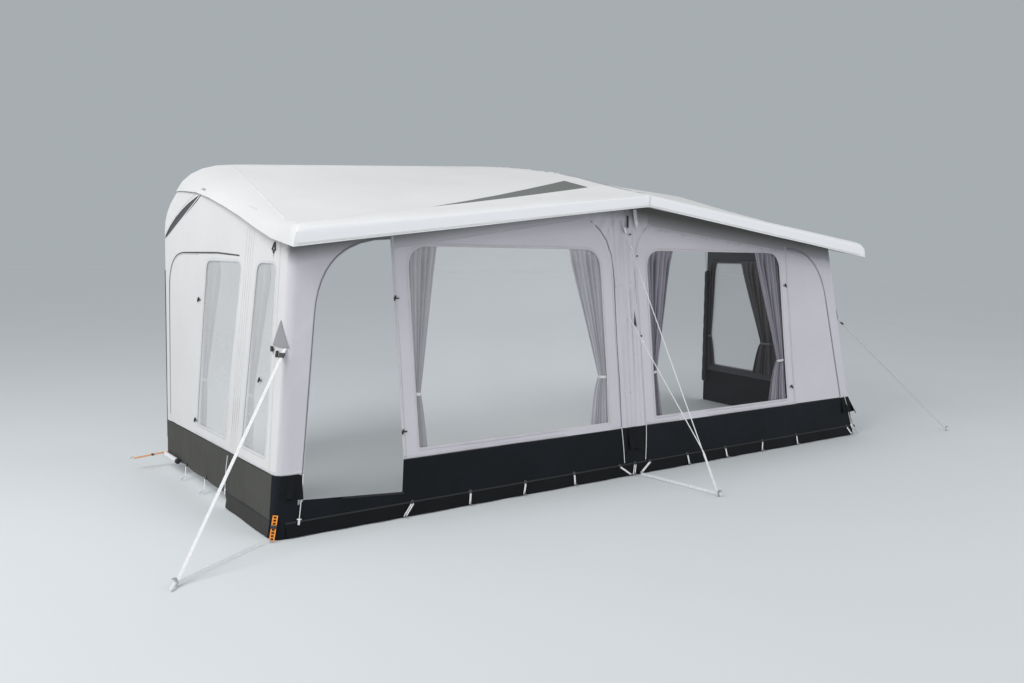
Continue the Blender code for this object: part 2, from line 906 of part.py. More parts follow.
def build_side_wall(side, windows, with_door):
    name = NAMES[side]
    us = grid(0.0, wall_depth, surface_step * 0.8)
    vs = grid(0.0, rail_round_start) + grid(rail_round_start, ridge_height, surface_step / 4)[1:]
    front_edge = []
    for z in grid(skirt_height, cover_top()):
        front_edge.append((side_length(z) - corner_cover_side, z))
    front_top = side_length(cover_top()) - corner_cover_side
    outline = front_edge + side_eave(gusset_front + gusset_slot, front_top)[-2:0:-1]
    outline += slot_edge(gusset_slot, -gusset_wall_bow)
    if with_door:
        door = side_door_outline(0.0)
        outline += [(bead_room, skirt_height), (side_door_rear, skirt_height)]
        outline += door[:2:-1] + [door[2], door[1]]
    else:
        outline += [(bead_room, skirt_height)]
    sheet(f"wall_side_{name}", side_white, side_wall(side), outline, us, vs, SIDES[side],
          holes=[side_window(limits) for limits in windows])
    for limits, place in zip(windows, ("rear", "front")):
        sheet(f"window_side_{name}_{place}", window_film, side_wall(side),
              side_window(limits, film_lap), us, vs, SIDES[side], thickness=film,
              out=-(cloth_half + curved_gap + film / 2))
    if with_door:
        door = sheet(f"door_side_{name}", side_white, side_wall(side), side_door_outline(door_gap), us, vs,
                     SIDES[side])
        set_origin(door, pushed(side_wall(side), side_door_front, hinge_height,
                                cloth_half + side_hinge_stand, SIDES[side]))
    outline = side_eave(bead_room, gusset_front)[:-1] + slot_edge(0.0, gusset_bow)
    sheet(f"gusset_{name}", side_white, side_wall(side), outline, us, vs, SIDES[side])


# Skirts

def build_skirts():
    vs = grid(0.0, skirt_height, skirt_height / 4)
    for side in (-1, 1):
        name = NAMES[side]
        us = grid(0.0, wall_depth)
        foot = [(side_length(z) - corner_radius, z) for z in (0.0, skirt_height)]
        outline = [(bead_room, seam_half), (foot[0][0], seam_half), foot[1], (bead_room, skirt_height)]
        sheet(f"skirt_side_{name}", skirt_black, side_wall(side), outline, us, vs, SIDES[side])
        us = grid(-corner_radius, corner_radius, corner_radius / 3) + grid(surface_step, half_front)
        centre = [-corner(z).x for z in (0.0, skirt_height)]
        outline = [(-corner_radius, seam_half), (centre[0], seam_half), (centre[1], skirt_height)]
        if side < 0:
            inner = centre[1] - door_seam_half
            outer = centre[1] - leg_side(sill_height)
            outline += [(inner, skirt_height), (inner, sill_height), (outer, sill_height),
                        (outer, skirt_height)]
        outline += [(-corner_radius, skirt_height)]
        sheet(f"skirt_front_{name}", skirt_black, corner_wall(side), outline, us, vs,
              (FRONT + SIDES[side]).normalized())


# Curtains

def curtain(name, surface, towards, top_edges, tie_edges, foot_edges, top, foot, seat):
    """Pleated curtain hung from the wall over a window and drawn in at its tie-back."""
    header = top + curtain_header
    heights = [header, header - 0.35 * curtain_header, header - 0.65 * curtain_header,
               top - 0.2 * curtain_header]
    rows = 9
    heights += [blend(heights[3], foot - curtain_drop * 0.5, (n + 1) / rows) for n in range(rows)]
    tie_share = (top - curtain_tie_height) / (top - foot)
    rings = []
    for row, z in enumerate(heights):
        share = min(max((top - z) / (top - foot), 0.0), 1.0)
        if share < tie_share:
            t = share / tie_share
            t = t * t * (3 - 2 * t)
            low, high = blend(top_edges[0], tie_edges[0], t), blend(top_edges[1], tie_edges[1], t)
        else:
            t = ((share - tie_share) / (1 - tie_share)) ** 0.6
            low, high = blend(tie_edges[0], foot_edges[0], t), blend(tie_edges[1], foot_edges[1], t)
        free = min(max((row - 1) / 2, 0.0), 1.0)
        stand = blend(cloth_half + seat, curtain_stand_off, free)
        front = []
        back = []
        for n in range(2 * curtain_folds + 1):
            u = blend(low, high, n / (2 * curtain_folds))
            fold = curtain_fold * free * (n % 2)
            front.append(pushed(surface, u, z, -(stand + fold), towards))
            back.append(pushed(surface, u, z, -(stand + fold + curtain_cloth), towards))
        rings.append(front + back[::-1])
    return lofted(name, curtain_grey, rings, smooth_angle=80.0, folded=True)


def build_curtains():
    foot = window_bottom
    for side in (-1, 1):
        surface = front_wall(side)
        name = NAMES[side]
        edge = window_outer_half + curtain_edge_lap
        foot_edge = window_outer_half - curtain_edge_lap
        curtain(f"curtain_front_{name}_outer", surface, FRONT, (edge - curtain_top_width, edge),
                (window_outer_half - curtain_tie_width, window_outer_half),
                (foot_edge - curtain_outer_foot_width, foot_edge), window_top, foot, gap)
        edge = window_inner_half - curtain_edge_lap
        foot_edge = window_inner_half + curtain_edge_lap
        curtain(f"curtain_front_{name}_inner", surface, FRONT, (edge, edge + curtain_top_width),
                (window_inner_half, window_inner_half + curtain_tie_width),
                (foot_edge, foot_edge + curtain_inner_foot_width), window_top, foot, gap)
    side_curtains = (("left_rear", -1, left_rear_curtain), ("left_front", -1, left_front_curtain),
                     ("right_rear", 1, right_rear_curtain), ("right_middle", 1, right_middle_curtain))
    for name, side, edges in side_curtains:
        curtain(f"curtain_side_{name}", side_wall(side), SIDES[side], *edges, side_window_top,
                side_window_bottom, curved_gap)


# Air frame

def build_air_frame():
    stand = beam_radius + cloth_half + beam_clearance
    depths = [share * wall_depth for share in beam_station_shares]
    for side in (-1, 1):
        route = []
        for z in grid(beam_foot, beam_bend_height):
            tip = corner(z)
            route.append(Vector(((tip.x + stand) * -side, tip.y + stand, z)))
        for depth in depths + [beam_rear_clearance]:
            z = eave_z(depth) - beam_drop
            route.append(pushed(side_wall(side), depth, z, -(stand + film), SIDES[side]))
        tube(f"air_beam_{NAMES[side]}", beam_grey, smooth_route(route, 36), beam_radius, 3)
    route = []
    for z in grid(beam_foot, centre_bend_height):
        route.append(Vector((0.0, front_foot + front_lean * z + centre_stand, z)))
    stand = beam_radius + cloth_half + beam_roof_clearance
    for depth in depths[1:] + [beam_rear_clearance]:
        route.append(Vector((0.0, half_depth - depth, ridge_z(depth) - stand)))
    tube("air_beam_centre", beam_grey, smooth_route(route, 36), beam_radius, 3)
    build_canopy_beam()


def build_canopy_beam():
    """Bent beam that carries the canopy's front edge, inside its nose."""
    stand = canopy_beam_radius + cloth_half

    def spot(x):
        w = place_across(x, canopy_reach)
        tip = roof_section(w, canopy_reach).y
        drop = min(tip - valance_foot(x), valance_height)
        y = half_depth - canopy_reach + cloth_half + canopy_beam_radius + gap
        return Vector((x, y, tip - stand - canopy_beam_drop - drop * nose_room_share))

    half = shoulder(canopy_reach).x * canopy_beam_share
    tube("canopy_beam", beam_grey, [spot(x) for x in grid(-half, half, 2 * half / 8)],
         canopy_beam_radius, 2)


def revolved(name, material, profile, origin, axis, up, sides=16):
    """Turned piece: profile is (radius, height) pairs round a closed section."""
    across, face = frame_of(axis, up)
    rings = []
    for n in range(sides):
        turn = 2 * math.pi * n / sides
        out = across * math.cos(turn) + face * math.sin(turn)
        rings.append([origin + out * r + axis * h for r, h in profile])
    verts = [point for ring in rings for point in ring]
    size = len(profile)
    faces = []
    for n in range(sides):
        for i in range(size - 1):
            m = (n + 1) % sides
            faces.append([n * size + i, m * size + i, m * size + i + 1, n * size + i + 1])
    start, end = len(verts), len(verts) + 1
    verts += [origin + axis * profile[0][1], origin + axis * profile[-1][1]]
    for n in range(sides):
        m = (n + 1) % sides
        faces.append([start, m * size, n * size])
        faces.append([end, n * size + size - 1, m * size + size - 1])
    return closed_object(name, verts, faces, material)


def valve_seat():
    """Point on the inner face of the centre leg, and the direction out of it."""
    out = Vector((0.0, 1.0, -front_lean)).normalized()
    middle = Vector((0.0, front_foot + front_lean * valve_height + centre_stand, valve_height))
    return middle + out * (beam_flat + gap), out


def build_valve():
    seat, out = valve_seat()
    top = valve_flange + valve_neck
    profile = [(valve_flange_radius, 0.0), (valve_flange_radius, valve_flange),
               (valve_neck_radius, valve_flange), (valve_neck_radius, top),
               (valve_recess_radius, top), (valve_recess_radius, top - valve_recess)]
    revolved("inflation_valve", plastic_black, profile, seat, out, UP)
    foot = seat + out * (top + gap)
    across, face = frame_of(out, UP)
    rim = []
    lug_half = math.asin(cap_lug / cap_radius)
    for n in range(15):
        turn = math.pi / 2 + lug_half + (2 * math.pi - 2 * lug_half) * n / 14
        rim.append(across * cap_radius * math.cos(turn) + face * cap_radius * math.sin(turn))
    rim.append(across * cap_lug + face * (cap_radius + cap_lug))
    rim.append(-across * cap_lug + face * (cap_radius + cap_lug))
    rings = [[foot + spot + out * h for spot in rim] for h in (0.0, cap_thickness)]
    cap = lofted("valve_cap", plastic_black, rings)
    set_origin(cap, foot + face * (cap_radius + cap_lug / 2))


def build_pads():
    """Foam pads that press the side walls' rear edges against the caravan."""
    for side in (-1, 1):
        rings = []
        for z in grid(pad_foot_height, pad_top_height):
            ring = []
            corners = ((0.0, 0.12), (0.12, 0.0), (0.88, 0.0), (1.0, 0.12), (1.0, 0.88), (0.88, 1.0),
                       (0.12, 1.0), (0.0, 0.88))
            for a, b in corners:
                depth = blend(pad_rear, pad_width, a)
                into = cloth_half + curved_gap + pad_thickness * b
                ring.append(pushed(side_wall(side), depth, z, -into, SIDES[side]))
            rings.append(ring)
        lofted(f"rear_pad_{NAMES[side]}", foam_black, rings)


# Straps, guys and pegs

def box_along(name, material, middle, direction, up, size, hole=None):
    """Block along a direction; with a hole size it is a sleeve open at both ends."""
    across, face = frame_of(direction, up)

    def ring(width, height, along_share):
        return [middle + direction * size[0] * along_share + across * width / 2 * a
                + face * height / 2 * b for a, b in ((-1, -1), (1, -1), (1, 1), (-1, 1))]

    if hole is None:
        return lofted(name, material, [ring(size[1], size[2], -0.5), ring(size[1], size[2], 0.5)])
    outer = [ring(size[1], size[2], share) for share in (-0.5, 0.5)]
    inner = [ring(hole[0], hole[1], share) for share in (0.5, -0.5)]
    rings = outer + inner
    verts = [point for loop in rings for point in loop]
    faces = []
    for r in range(4):
        following = (r + 1) % 4
        for i in range(4):
            j = (i + 1) % 4
            faces.append([r * 4 + i, r * 4 + j, following * 4 + j, following * 4 + i])
    return closed_object(name, verts, faces, material)


def build_peg(name, foot, lean):
    """Visible head of a ground peg, an upright flat bar with its hook turned from the strap."""
    across = Vector((-lean.y, lean.x, 0.0)).normalized()
    base = foot + lean * (strap_thickness / 2)
    half = across * peg_width / 2
    thick = lean * peg_thickness
    hook = lean * peg_width
    profile = [Vector((0, 0, gap)), Vector((0, 0, peg_height)), hook + UP * peg_height,
               hook + UP * (peg_height - peg_thickness), thick + UP * (peg_height - peg_thickness),
               thick + UP * gap]
    rings = [[base + sign * half + spot for spot in profile] for sign in (-1, 1)]
    lofted(name, peg_steel, rings)


def strap_ends(side):
    out = (FRONT + SIDES[side]).normalized()
    seat = pushed(corner_wall(side), 0.0, strap_anchor_height, cloth_half, out)
    foot = Vector((strap_peg_halves[side] * side, half_depth - strap_peg_out,
                   strap_width / 2 + strap_ground_clearance))
    across, face = frame_of((foot - seat).normalized(), UP)
    reach = strap_width * strap_seat_share * abs(across.dot(out)) + strap_thickness / 2
    return seat + out * (gap + reach), foot


def build_storm_straps():
    for side in (-1, 1):
        name = NAMES[side]
        anchor, foot = strap_ends(side)
        points = [anchor.lerp(foot, n / 6) for n in range(7)]
        direction = (foot - anchor).normalized()
        ribbon(f"storm_strap_{name}", webbing_white, points, UP)
        lean = Vector((direction.x, direction.y, 0.0)).normalized()
        build_peg(f"peg_{name}", Vector((foot.x, foot.y, 0.0)) + lean * gap, lean)
        middle = anchor.lerp(foot, strap_slider_share)
        hole = (strap_width + 2 * slider_play, strap_thickness + 2 * slider_play)
        size = (slider_length, hole[0] + 2 * slider_wall, hole[1] + 2 * slider_wall)
        slider = box_along(f"slider_{name}", plastic_black, middle, direction, UP, size, hole)
        set_origin(slider, middle)


def centre_guy_points():
    """Upper and lower anchors at the centre leg, their meeting point and the peg's foot."""
    starts = []
    for z in (upper_guy_height, lower_guy_height):
        lift = (pleated(2 * guy_radius, z) - whole_front(2 * guy_radius, z)).length * guy_lift_share
        starts.append(pushed(whole_front, guy_radius, z, cloth_half + lift + guy_radius + gap, FRONT))
    upper, lower = starts
    foot = Vector((centre_peg_half, half_depth - centre_peg_out,
                   strap_width / 2 + strap_ground_clearance))
    meet = upper.lerp(foot, meeting_share)
    return upper, lower, meet, foot


def build_centre_guys():
    upper, lower, meet, foot = centre_guy_points()
    direction = (foot - meet).normalized()
    ribbon("storm_strap_centre", webbing_white, [meet.lerp(foot, n / 3) for n in range(4)], UP)
    lean = Vector((direction.x, direction.y, 0.0)).normalized()
    build_peg("peg_centre", Vector((foot.x, foot.y, 0.0)) + lean * gap, lean)
    shift = Vector((guy_radius + gap, 0.0, 0.0))
    for name, start, sign in (("upper", upper, -1), ("lower", lower, 1)):
        start = start + shift * sign
        turn = (meet - start).normalized().cross(direction).length
        end = meet + shift * sign - direction * (gap + guy_radius * turn)
        points = [start.lerp(end, n / 8) for n in range(9)]
        tube(f"guy_centre_{name}", webbing_white, points, guy_radius)
        run = (end - start).normalized()
        hole = (2 * (guy_radius + slider_play), 2 * (guy_radius + slider_play))
        size = (slider_length, hole[0] + 2 * slider_wall, hole[1] + 2 * slider_wall)
        middle = start.lerp(end, centre_slider_shares[name])
        slider = box_along(f"slider_centre_{name}", plastic_white, middle, run, UP, size, hole)
        set_origin(slider, middle)


def build_peg_straps():
    """Orange ladder straps that hold the four corners down."""
    for side in (-1, 1):
        name = NAMES[side]
        surface = corner_wall(side)
        out = (FRONT + SIDES[side]).normalized()
        top = pushed(surface, 0.0, corner_strap_height, cloth_half + gap + strap_thickness / 2, out)
        foot = pushed(surface, 0.0, 0.0, corner_peg_reach, out)
        foot.z = strap_ground_clearance + strap_thickness
        ribbon(f"peg_strap_front_{name}", webbing_orange, [top.lerp(foot, n / 4) for n in range(5)], out)
        top = pushed(side_wall(side), 2 * strap_width, rear_strap_height, cloth_half + gap + rear_strap_room,
                     SIDES[side])
        foot = top + SIDES[side] * rear_peg_reach
        foot.z = strap_ground_clearance
        ribbon(f"peg_strap_rear_{name}", webbing_orange, smooth_route([top, top.lerp(foot, 0.5), foot], 6),
               UP)


build_roof()
build_rail_bead()
for each_side in (-1, 1):
    build_front_wall(each_side)
build_front_door()
build_leg_covers()
build_side_wall(-1, (left_rear_window, left_front_window), True)
build_side_wall(1, (right_rear_window, right_front_window), False)
build_skirts()
build_curtains()
build_air_frame()
build_valve()
build_pads()
build_storm_straps()
build_centre_guys()
build_peg_straps()
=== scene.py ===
import math
import bmesh
import bpy
import numpy as np
from mathutils import Matrix, Vector, noise
from mathutils.bvhtree import BVHTree


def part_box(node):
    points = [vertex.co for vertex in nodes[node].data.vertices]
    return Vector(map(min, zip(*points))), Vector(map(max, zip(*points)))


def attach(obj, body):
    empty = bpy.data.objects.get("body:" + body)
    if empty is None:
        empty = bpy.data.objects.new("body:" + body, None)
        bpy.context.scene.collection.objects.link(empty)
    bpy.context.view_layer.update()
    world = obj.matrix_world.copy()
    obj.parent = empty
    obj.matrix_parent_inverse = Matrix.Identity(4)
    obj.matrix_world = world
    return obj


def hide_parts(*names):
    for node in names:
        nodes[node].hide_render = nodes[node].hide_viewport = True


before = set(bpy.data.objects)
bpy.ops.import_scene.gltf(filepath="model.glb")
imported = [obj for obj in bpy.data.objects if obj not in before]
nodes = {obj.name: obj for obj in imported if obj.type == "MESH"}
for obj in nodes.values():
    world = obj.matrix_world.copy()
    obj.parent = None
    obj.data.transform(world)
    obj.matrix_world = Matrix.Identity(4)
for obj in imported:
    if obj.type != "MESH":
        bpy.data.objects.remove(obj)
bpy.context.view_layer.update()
scene = bpy.context.scene

# Camera
yaw, pitch, roll = math.radians(-34.4392), math.radians(-6.2085), math.radians(0.9707)
ahead = Vector((-math.sin(yaw) * math.cos(pitch), math.cos(yaw) * math.cos(pitch), math.sin(pitch)))
level = Vector((math.cos(yaw), math.sin(yaw), 0))
above = level.cross(ahead)
right = level * math.cos(roll) + above * math.sin(roll)
up = above * math.cos(roll) - level * math.sin(roll)
place = Vector((-4.775, -6.1795, 1.8626))
lens = bpy.data.cameras.new("camera")
lens.sensor_width = 36
lens.lens = 29.14
camera = bpy.data.objects.new("camera", lens)
camera.matrix_world = Matrix(((right.x, up.x, -ahead.x, place.x), (right.y, up.y, -ahead.y, place.y),
                              (right.z, up.z, -ahead.z, place.z), (0, 0, 0, 1)))
scene.collection.objects.link(camera)
scene.camera = camera

# Awning surfaces, as in the solids
HALF_DEPTH, WALL_DEPTH = 1.16575, 2.286
HALF_FRONT, HALF_REAR = 3.125, 3.27
FRONT_LEAN, CORNER_LEAN, REAR_LEAN = 0.138, 0.12, 0.0119
CORNER_RADIUS = 0.07
RAIL_ROUND, RAIL_ROUND_START, RAIL_ROUND_FADE = 0.554, 1.98, 1.2
EAVE_HEIGHT, PEAK_HEIGHT = 1.87, 2.24
SKIRT_HEIGHT = 0.4
CLOTH = 0.0015
PROBE = 0.002
BODY = "awning"
BOTH = (-1, 1)
NAMES = {-1: "left", 1: "right"}
FRONT, UP, ACROSS = Vector((0, -1, 0)), Vector((0, 0, 1)), Vector((1, 0, 0))
SIDES = {-1: -ACROSS, 1: ACROSS}


def clamp(value):
    return min(max(value, 0.0), 1.0)


def blend(low, high, t):
    return low + (high - low) * t


def curve(start, knee, end, t):
    """Point of a quadratic curve."""
    return start * (1 - t) ** 2 + knee * 2 * t * (1 - t) + end * t * t


def shares(count):
    return [n / count for n in range(count + 1)]


def evenly(start, end, count):
    return [start.lerp(end, t) for t in shares(count)]


def corner(z):
    return Vector((-(HALF_FRONT - CORNER_LEAN * z), HALF_DEPTH - WALL_DEPTH + FRONT_LEAN * z))


def rear_edge(z):
    return Vector((-(HALF_REAR - REAR_LEAN * z), HALF_DEPTH))


def side_length(z):
    return (corner(z) - rear_edge(z)).length


def rail_inset(depth, z):
    rise = min(max(z - RAIL_ROUND_START, 0.0), RAIL_ROUND)
    fade = max(1.0 - depth / RAIL_ROUND_FADE, 0.0) ** 2
    return (RAIL_ROUND - math.sqrt(RAIL_ROUND ** 2 - rise ** 2)) * fade


def shell(side, reach, z):
    """Wall at a reach from its front corner: below zero on the side wall, above it on the front."""
    tip = corner(z)
    back = (rear_edge(z) - tip).normalized()
    if reach <= -CORNER_RADIUS:
        flat = tip + back * -reach
        flat.x += rail_inset(side_length(z) + reach, z)
    elif reach >= CORNER_RADIUS:
        flat = Vector((tip.x + reach, tip.y))
    else:
        flat = curve(tip + back * CORNER_RADIUS, tip, Vector((tip.x + CORNER_RADIUS, tip.y)),
                     (reach + CORNER_RADIUS) / (2 * CORNER_RADIUS))
    return Vector((flat.x * -side, flat.y, z))


def front_wall(x, z):
    return shell(-1 if x < 0 else 1, -corner(z).x - abs(x), z)


class Skin:
    """Surface over (place along, height), with the direction that it faces."""

    def __init__(self, point, towards):
        self.point, self.towards = point, towards

    def at(self, u, v, out=0.0):
        """Point moved out along the surface's normal, and that normal."""
        point = self.point
        normal = (point(u + PROBE, v) - point(u - PROBE, v)).cross(
            point(u, v + PROBE) - point(u, v - PROBE)).normalized()
        if normal.dot(self.towards) < 0:
            normal = -normal
        return point(u, v) + normal * out, normal

    def route(self, line, out=CLOTH, step=0.05):
        """Points and normals along straight runs between places."""
        result = []
        for start, end in zip(line, line[1:]):
            count = max(int(math.dist(start, end) / step), 1)
            result += [self.at(blend(start[0], end[0], t), blend(start[1], end[1], t), out)
                       for t in shares(count)[:-1]]
        return result + [self.at(*line[-1], out)]


WHOLE = Skin(front_wall, FRONT)
WALLS = {side: Skin(lambda u, z, side=side: front_wall(u * side, z), FRONT) for side in BOTH}
FLANKS = {side: Skin(lambda d, z, side=side: shell(side, d - side_length(z), z), SIDES[side])
          for side in BOTH}
TIPS = {side: Skin(lambda reach, z, side=side: shell(side, reach, z), (FRONT + SIDES[side]).normalized())
        for side in BOTH}


class Graph:
    """Small helper over a material's node tree; the slot, that of the pieces made of it, is not used."""

    def __init__(self, name, slot=None):
        self.material = bpy.data.materials.new(name)
        self.material.use_nodes = True
        self.tree = self.material.node_tree
        self.shader = self.tree.nodes["Principled BSDF"]
        self.coords = self.add("ShaderNodeTexCoord").outputs["Object"]
        self.normal = None

    def add(self, kind, inputs=(), **values):
        """Node with its settings, its inputs given as values or as sockets to link."""
        node = self.tree.nodes.new(kind)
        for key, value in values.items():
            setattr(node, key, value)
        for key, value in dict(inputs).items():
            if isinstance(value, bpy.types.NodeSocket):
                self.tree.links.new(value, node.inputs[key])
            else:
                node.inputs[key].default_value = value
        return node

    def shaded_by(self, name, socket):
        self.tree.links.new(socket, self.shader.inputs[name])

    def noise(self, scale, detail=3.0, rough=0.5, stretch=None):
        coords = self.coords
        if stretch:
            coords = self.add("ShaderNodeMapping", {"Vector": coords, "Scale": stretch}).outputs["Vector"]
        return self.add("ShaderNodeTexNoise", {"Vector": coords, "Scale": scale, "Detail": detail,
                                               "Roughness": rough}).outputs["Fac"]

    def bands(self, period, direction):
        return self.add("ShaderNodeTexWave", {"Vector": self.coords, "Scale": math.tau / 20 / period},
                        wave_type="BANDS", bands_direction=direction).outputs["Fac"]

    def math(self, operation, first, second=0.0):
        return self.add("ShaderNodeMath", {0: first, 1: second}, operation=operation).outputs[0]

    def bump(self, height, strength, distance):
        inputs = {"Strength": strength, "Distance": distance, "Height": height}
        if self.normal is not None:
            inputs["Normal"] = self.normal
        self.normal = self.add("ShaderNodeBump", inputs).outputs["Normal"]
        self.shaded_by("Normal", self.normal)

    def colour(self, low, high, share):
        ramp = self.add("ShaderNodeValToRGB", {"Fac": share})
        for element, position, colour in zip(ramp.color_ramp.elements, (0.35, 0.65), (low, high)):
            element.position = position
            element.color = (*colour, 1)
        self.shaded_by("Base Color", ramp.outputs["Color"])

    def tint(self, colour, low, high, share):
        self.colour(shade(colour, low), shade(colour, high), share)

    def rough(self, low, high, share):
        self.shaded_by("Roughness", self.add("ShaderNodeMapRange", {
            "To Min": low, "To Max": high, "Value": share}).outputs["Result"])

    def set(self, **values):
        for key, value in values.items():
            self.shader.inputs[key.replace("_", " ")].default_value = value

    def over(self, colour, mask):
        """Lays a colour over the base colour where a mask is 1."""
        base = self.shader.inputs["Base Color"].links[0].from_socket
        mix = self.add("ShaderNodeMix", {0: mask, 6: base, 7: (*colour, 1)}, data_type="RGBA")
        self.shaded_by("Base Color", mix.outputs[2])

    def run(self):
        """Distances across and along a band, in metres."""
        marks = self.add("ShaderNodeAttribute", attribute_name="run").outputs["Vector"]
        parts = self.add("ShaderNodeSeparateXYZ", {0: marks})
        return self.math("ABSOLUTE", parts.outputs[0]), parts.outputs[1]

    def dashes(self, along, pitch, share):
        return self.math("LESS_THAN", self.math("FRACT", self.math("DIVIDE", along, pitch)), share)

    def mark(self, name):
        """Value from 0 to 1 kept on the mesh's points."""
        return self.add("ShaderNodeAttribute", attribute_name=name).outputs["Fac"]

    def near(self, value, middle, reach):
        return self.math("LESS_THAN", self.math("ABSOLUTE", self.math("SUBTRACT", value, middle)), reach)


def shade(colour, factor):
    return tuple(min(channel * factor, 1.0) for channel in colour)


def cloth(name, slot, colour, rough=0.7, thread=0.0025, weave=0.12, creases=0.25, sheen=0.15, vary=0.03,
          grain=(1, 1, 1), coat=0.0, gloss=0.5, zones=()):
    """Woven cloth: threads both ways, soft creases, faint unevenness of colour and gloss."""
    graph = Graph(name, slot)
    graph.tint(colour, 1 - vary, 1 + vary, graph.noise(1.3, 4.0, 0.55))
    for zone, tint in zones:
        graph.over(tint, graph.mark(zone))
    graph.rough(rough - 0.06, rough + 0.06, graph.noise(5.0))
    graph.bump(graph.noise(4.0, 3.0, 0.5, grain), creases, 0.02)
    threads = graph.math("ADD", graph.bands(thread, "X"), graph.bands(thread, "Y"))
    graph.bump(graph.math("ADD", threads, graph.bands(thread, "Z")), weave, 0.0005)
    graph.set(Sheen_Weight=sheen, Sheen_Roughness=0.4, Coat_Weight=coat, Coat_Roughness=0.35,
              Specular_IOR_Level=gloss)
    return graph.material


def plastic(name, slot, colour, rough=0.4):
    """Moulded plastic: fine grain and slightly uneven gloss."""
    graph = Graph(name, slot)
    graph.tint(colour, 0.94, 1.06, graph.noise(40.0))
    graph.rough(rough - 0.08, rough + 0.08, graph.noise(90.0))
    graph.bump(graph.noise(900.0, 2.0), 0.06, 0.0003)
    return graph.material


def steel(name, slot, colour):
    graph = Graph(name, slot)
    graph.tint(colour, 0.85, 1.1, graph.noise(60.0, 5.0))
    graph.rough(0.25, 0.47, graph.noise(150.0, 4.0))
    graph.bump(graph.noise(400.0, 3.0, 0.5, (1, 1, 0.1)), 0.1, 0.0003)
    graph.set(Metallic=1.0)
    return graph.material


def webbing(name, slot, colour):
    graph = Graph(name, slot)
    graph.tint(colour, 0.92, 1.04, graph.noise(60.0, 2.0))
    graph.rough(0.70, 0.80, graph.noise(40.0))
    graph.bump(graph.math("ADD", graph.bands(0.003, "Z"), graph.bands(0.0018, "X")), 0.3, 0.0005)
    graph.set(Sheen_Weight=0.1)
    return graph.material


def sewn(name, slot, colour, thread, edge, rough=0.7, teeth=False):
    """Woven tape with a row of stitches by each edge, and with a coil of teeth down a zip."""
    graph = Graph(name, slot)
    graph.tint(colour, 0.95, 1.05, graph.noise(8.0))
    graph.rough(rough - 0.05, rough + 0.05, graph.noise(30.0))
    across, along = graph.run()
    graph.bump(graph.math("ADD", graph.bands(0.002, "Z"), graph.bands(0.002, "X")), 0.2, 0.0004)
    stitches = graph.math("MULTIPLY", graph.near(across, edge, 0.0009), graph.dashes(along, 0.007, 0.6))
    graph.over(thread, stitches)
    graph.bump(stitches, 0.7, 0.001)
    if teeth:
        coil = graph.math("MULTIPLY", graph.near(across, 0.0, 0.0028), graph.dashes(along, 0.003, 0.55))
        graph.over(shade(colour, 0.45), coil)
        graph.bump(coil, 0.9, 0.001)
    return graph.material


def clear_film(name, colour, haze, crinkle=0.15):
    """Clear flexible sheet with a slight haze and slow ripples."""
    graph = Graph(name, "window_film")
    graph.tint(colour, 0.97, 1.02, graph.noise(2.0))
    graph.rough(0.06, 0.16, graph.noise(3.0, 2.0))
    graph.bump(graph.noise(2.2, 1.5, 0.4, (1, 1, 0.6)), crinkle, 0.02)
    graph.set(Alpha=haze, IOR=1.45)
    graph.material.blend_method = "BLEND"
    return graph.material


LILAC, PALE = (0.610, 0.590, 0.637), (0.70, 0.69, 0.685)
# Painted shade: the canopy's shadow, painted dark over the top of the front cloth, the door headers and the leg
# covers
SHADED = ("canopy_shade", (0.150, 0.152, 0.140))
COATED = dict(rough=0.5, creases=0.14, coat=0.12)
UPRIGHT = (1.6, 1.6, 0.35)
MUD = dict(rough=0.65, creases=0.5, sheen=0.02, vary=0.2, gloss=0.12)
# Finish of the side skirts' copies with painted light: a little more sheen and gloss
LIT_SKIRTING = dict(rough=0.65, creases=0.5, sheen=0.05, vary=0.12, gloss=0.2)
DRAPE = dict(rough=0.85, thread=0.002, weave=0.2, grain=(3, 3, 0.3))

ROOF = cloth("roof_white", "roof_cloth", (0.74, 0.735, 0.725), **COATED)
# Painted light: the canopy's front-facing fascia is painted lighter, for the light from the front that falls on
# it
CANOPY = cloth("canopy_white", "roof_cloth", (0.78, 0.775, 0.765), **COATED,
               zones=(("fascia_painted_light", (0.90, 0.90, 0.915)),))
UNDER = cloth("roof_lining", "roof_cloth", (0.42, 0.42, 0.40), 0.8)
WALL = cloth("wall_grey", "wall_cloth", LILAC, creases=0.30, grain=UPRIGHT, zones=(SHADED,))
# Inside faces: a dark lining, darkened further as painted shade inside the awning
LINING = cloth("wall_lining", "side_cloth", (0.070, 0.069, 0.076), 0.85, creases=0.3, grain=(1.6, 1.6, 0.4))
SIDE = cloth("side_pale", "side_cloth", PALE, creases=0.22, grain=UPRIGHT)
LEG = cloth("leg_pale", "side_cloth", PALE, creases=0.30, grain=UPRIGHT, zones=(("front", LILAC), SHADED))
INSET = cloth("inset_dark", "inset_cloth", (0.115, 0.125, 0.115), 0.8)
SKIRT = cloth("skirt_black", "skirt_cloth", (0.0088, 0.0108, 0.0140), **MUD)
HEM = cloth("skirt_hem", "skirt_cloth", (0.0065, 0.0075, 0.009), **MUD)
# Painted light: the side skirts and their flaps are lighter copies of the same black skirt cloth, where the
# light falls on the sides
SKIRT_PAINTED_LIGHT = cloth("skirt_black_painted_light", "skirt_cloth", (0.060, 0.060, 0.053), **LIT_SKIRTING)
HEM_PAINTED_LIGHT = cloth("skirt_hem_painted_light", "skirt_cloth", (0.036, 0.036, 0.032), **LIT_SKIRTING)
# Painted shade: each curtain cloth is darkened to its fold tint in the deep valleys of its pleats
CURTAIN = cloth("curtain_grey", "curtain_cloth", (0.34, 0.32, 0.375), creases=0.3, sheen=0.3, vary=0.08,
                zones=(("fold", (0.10, 0.092, 0.115)),), **DRAPE)
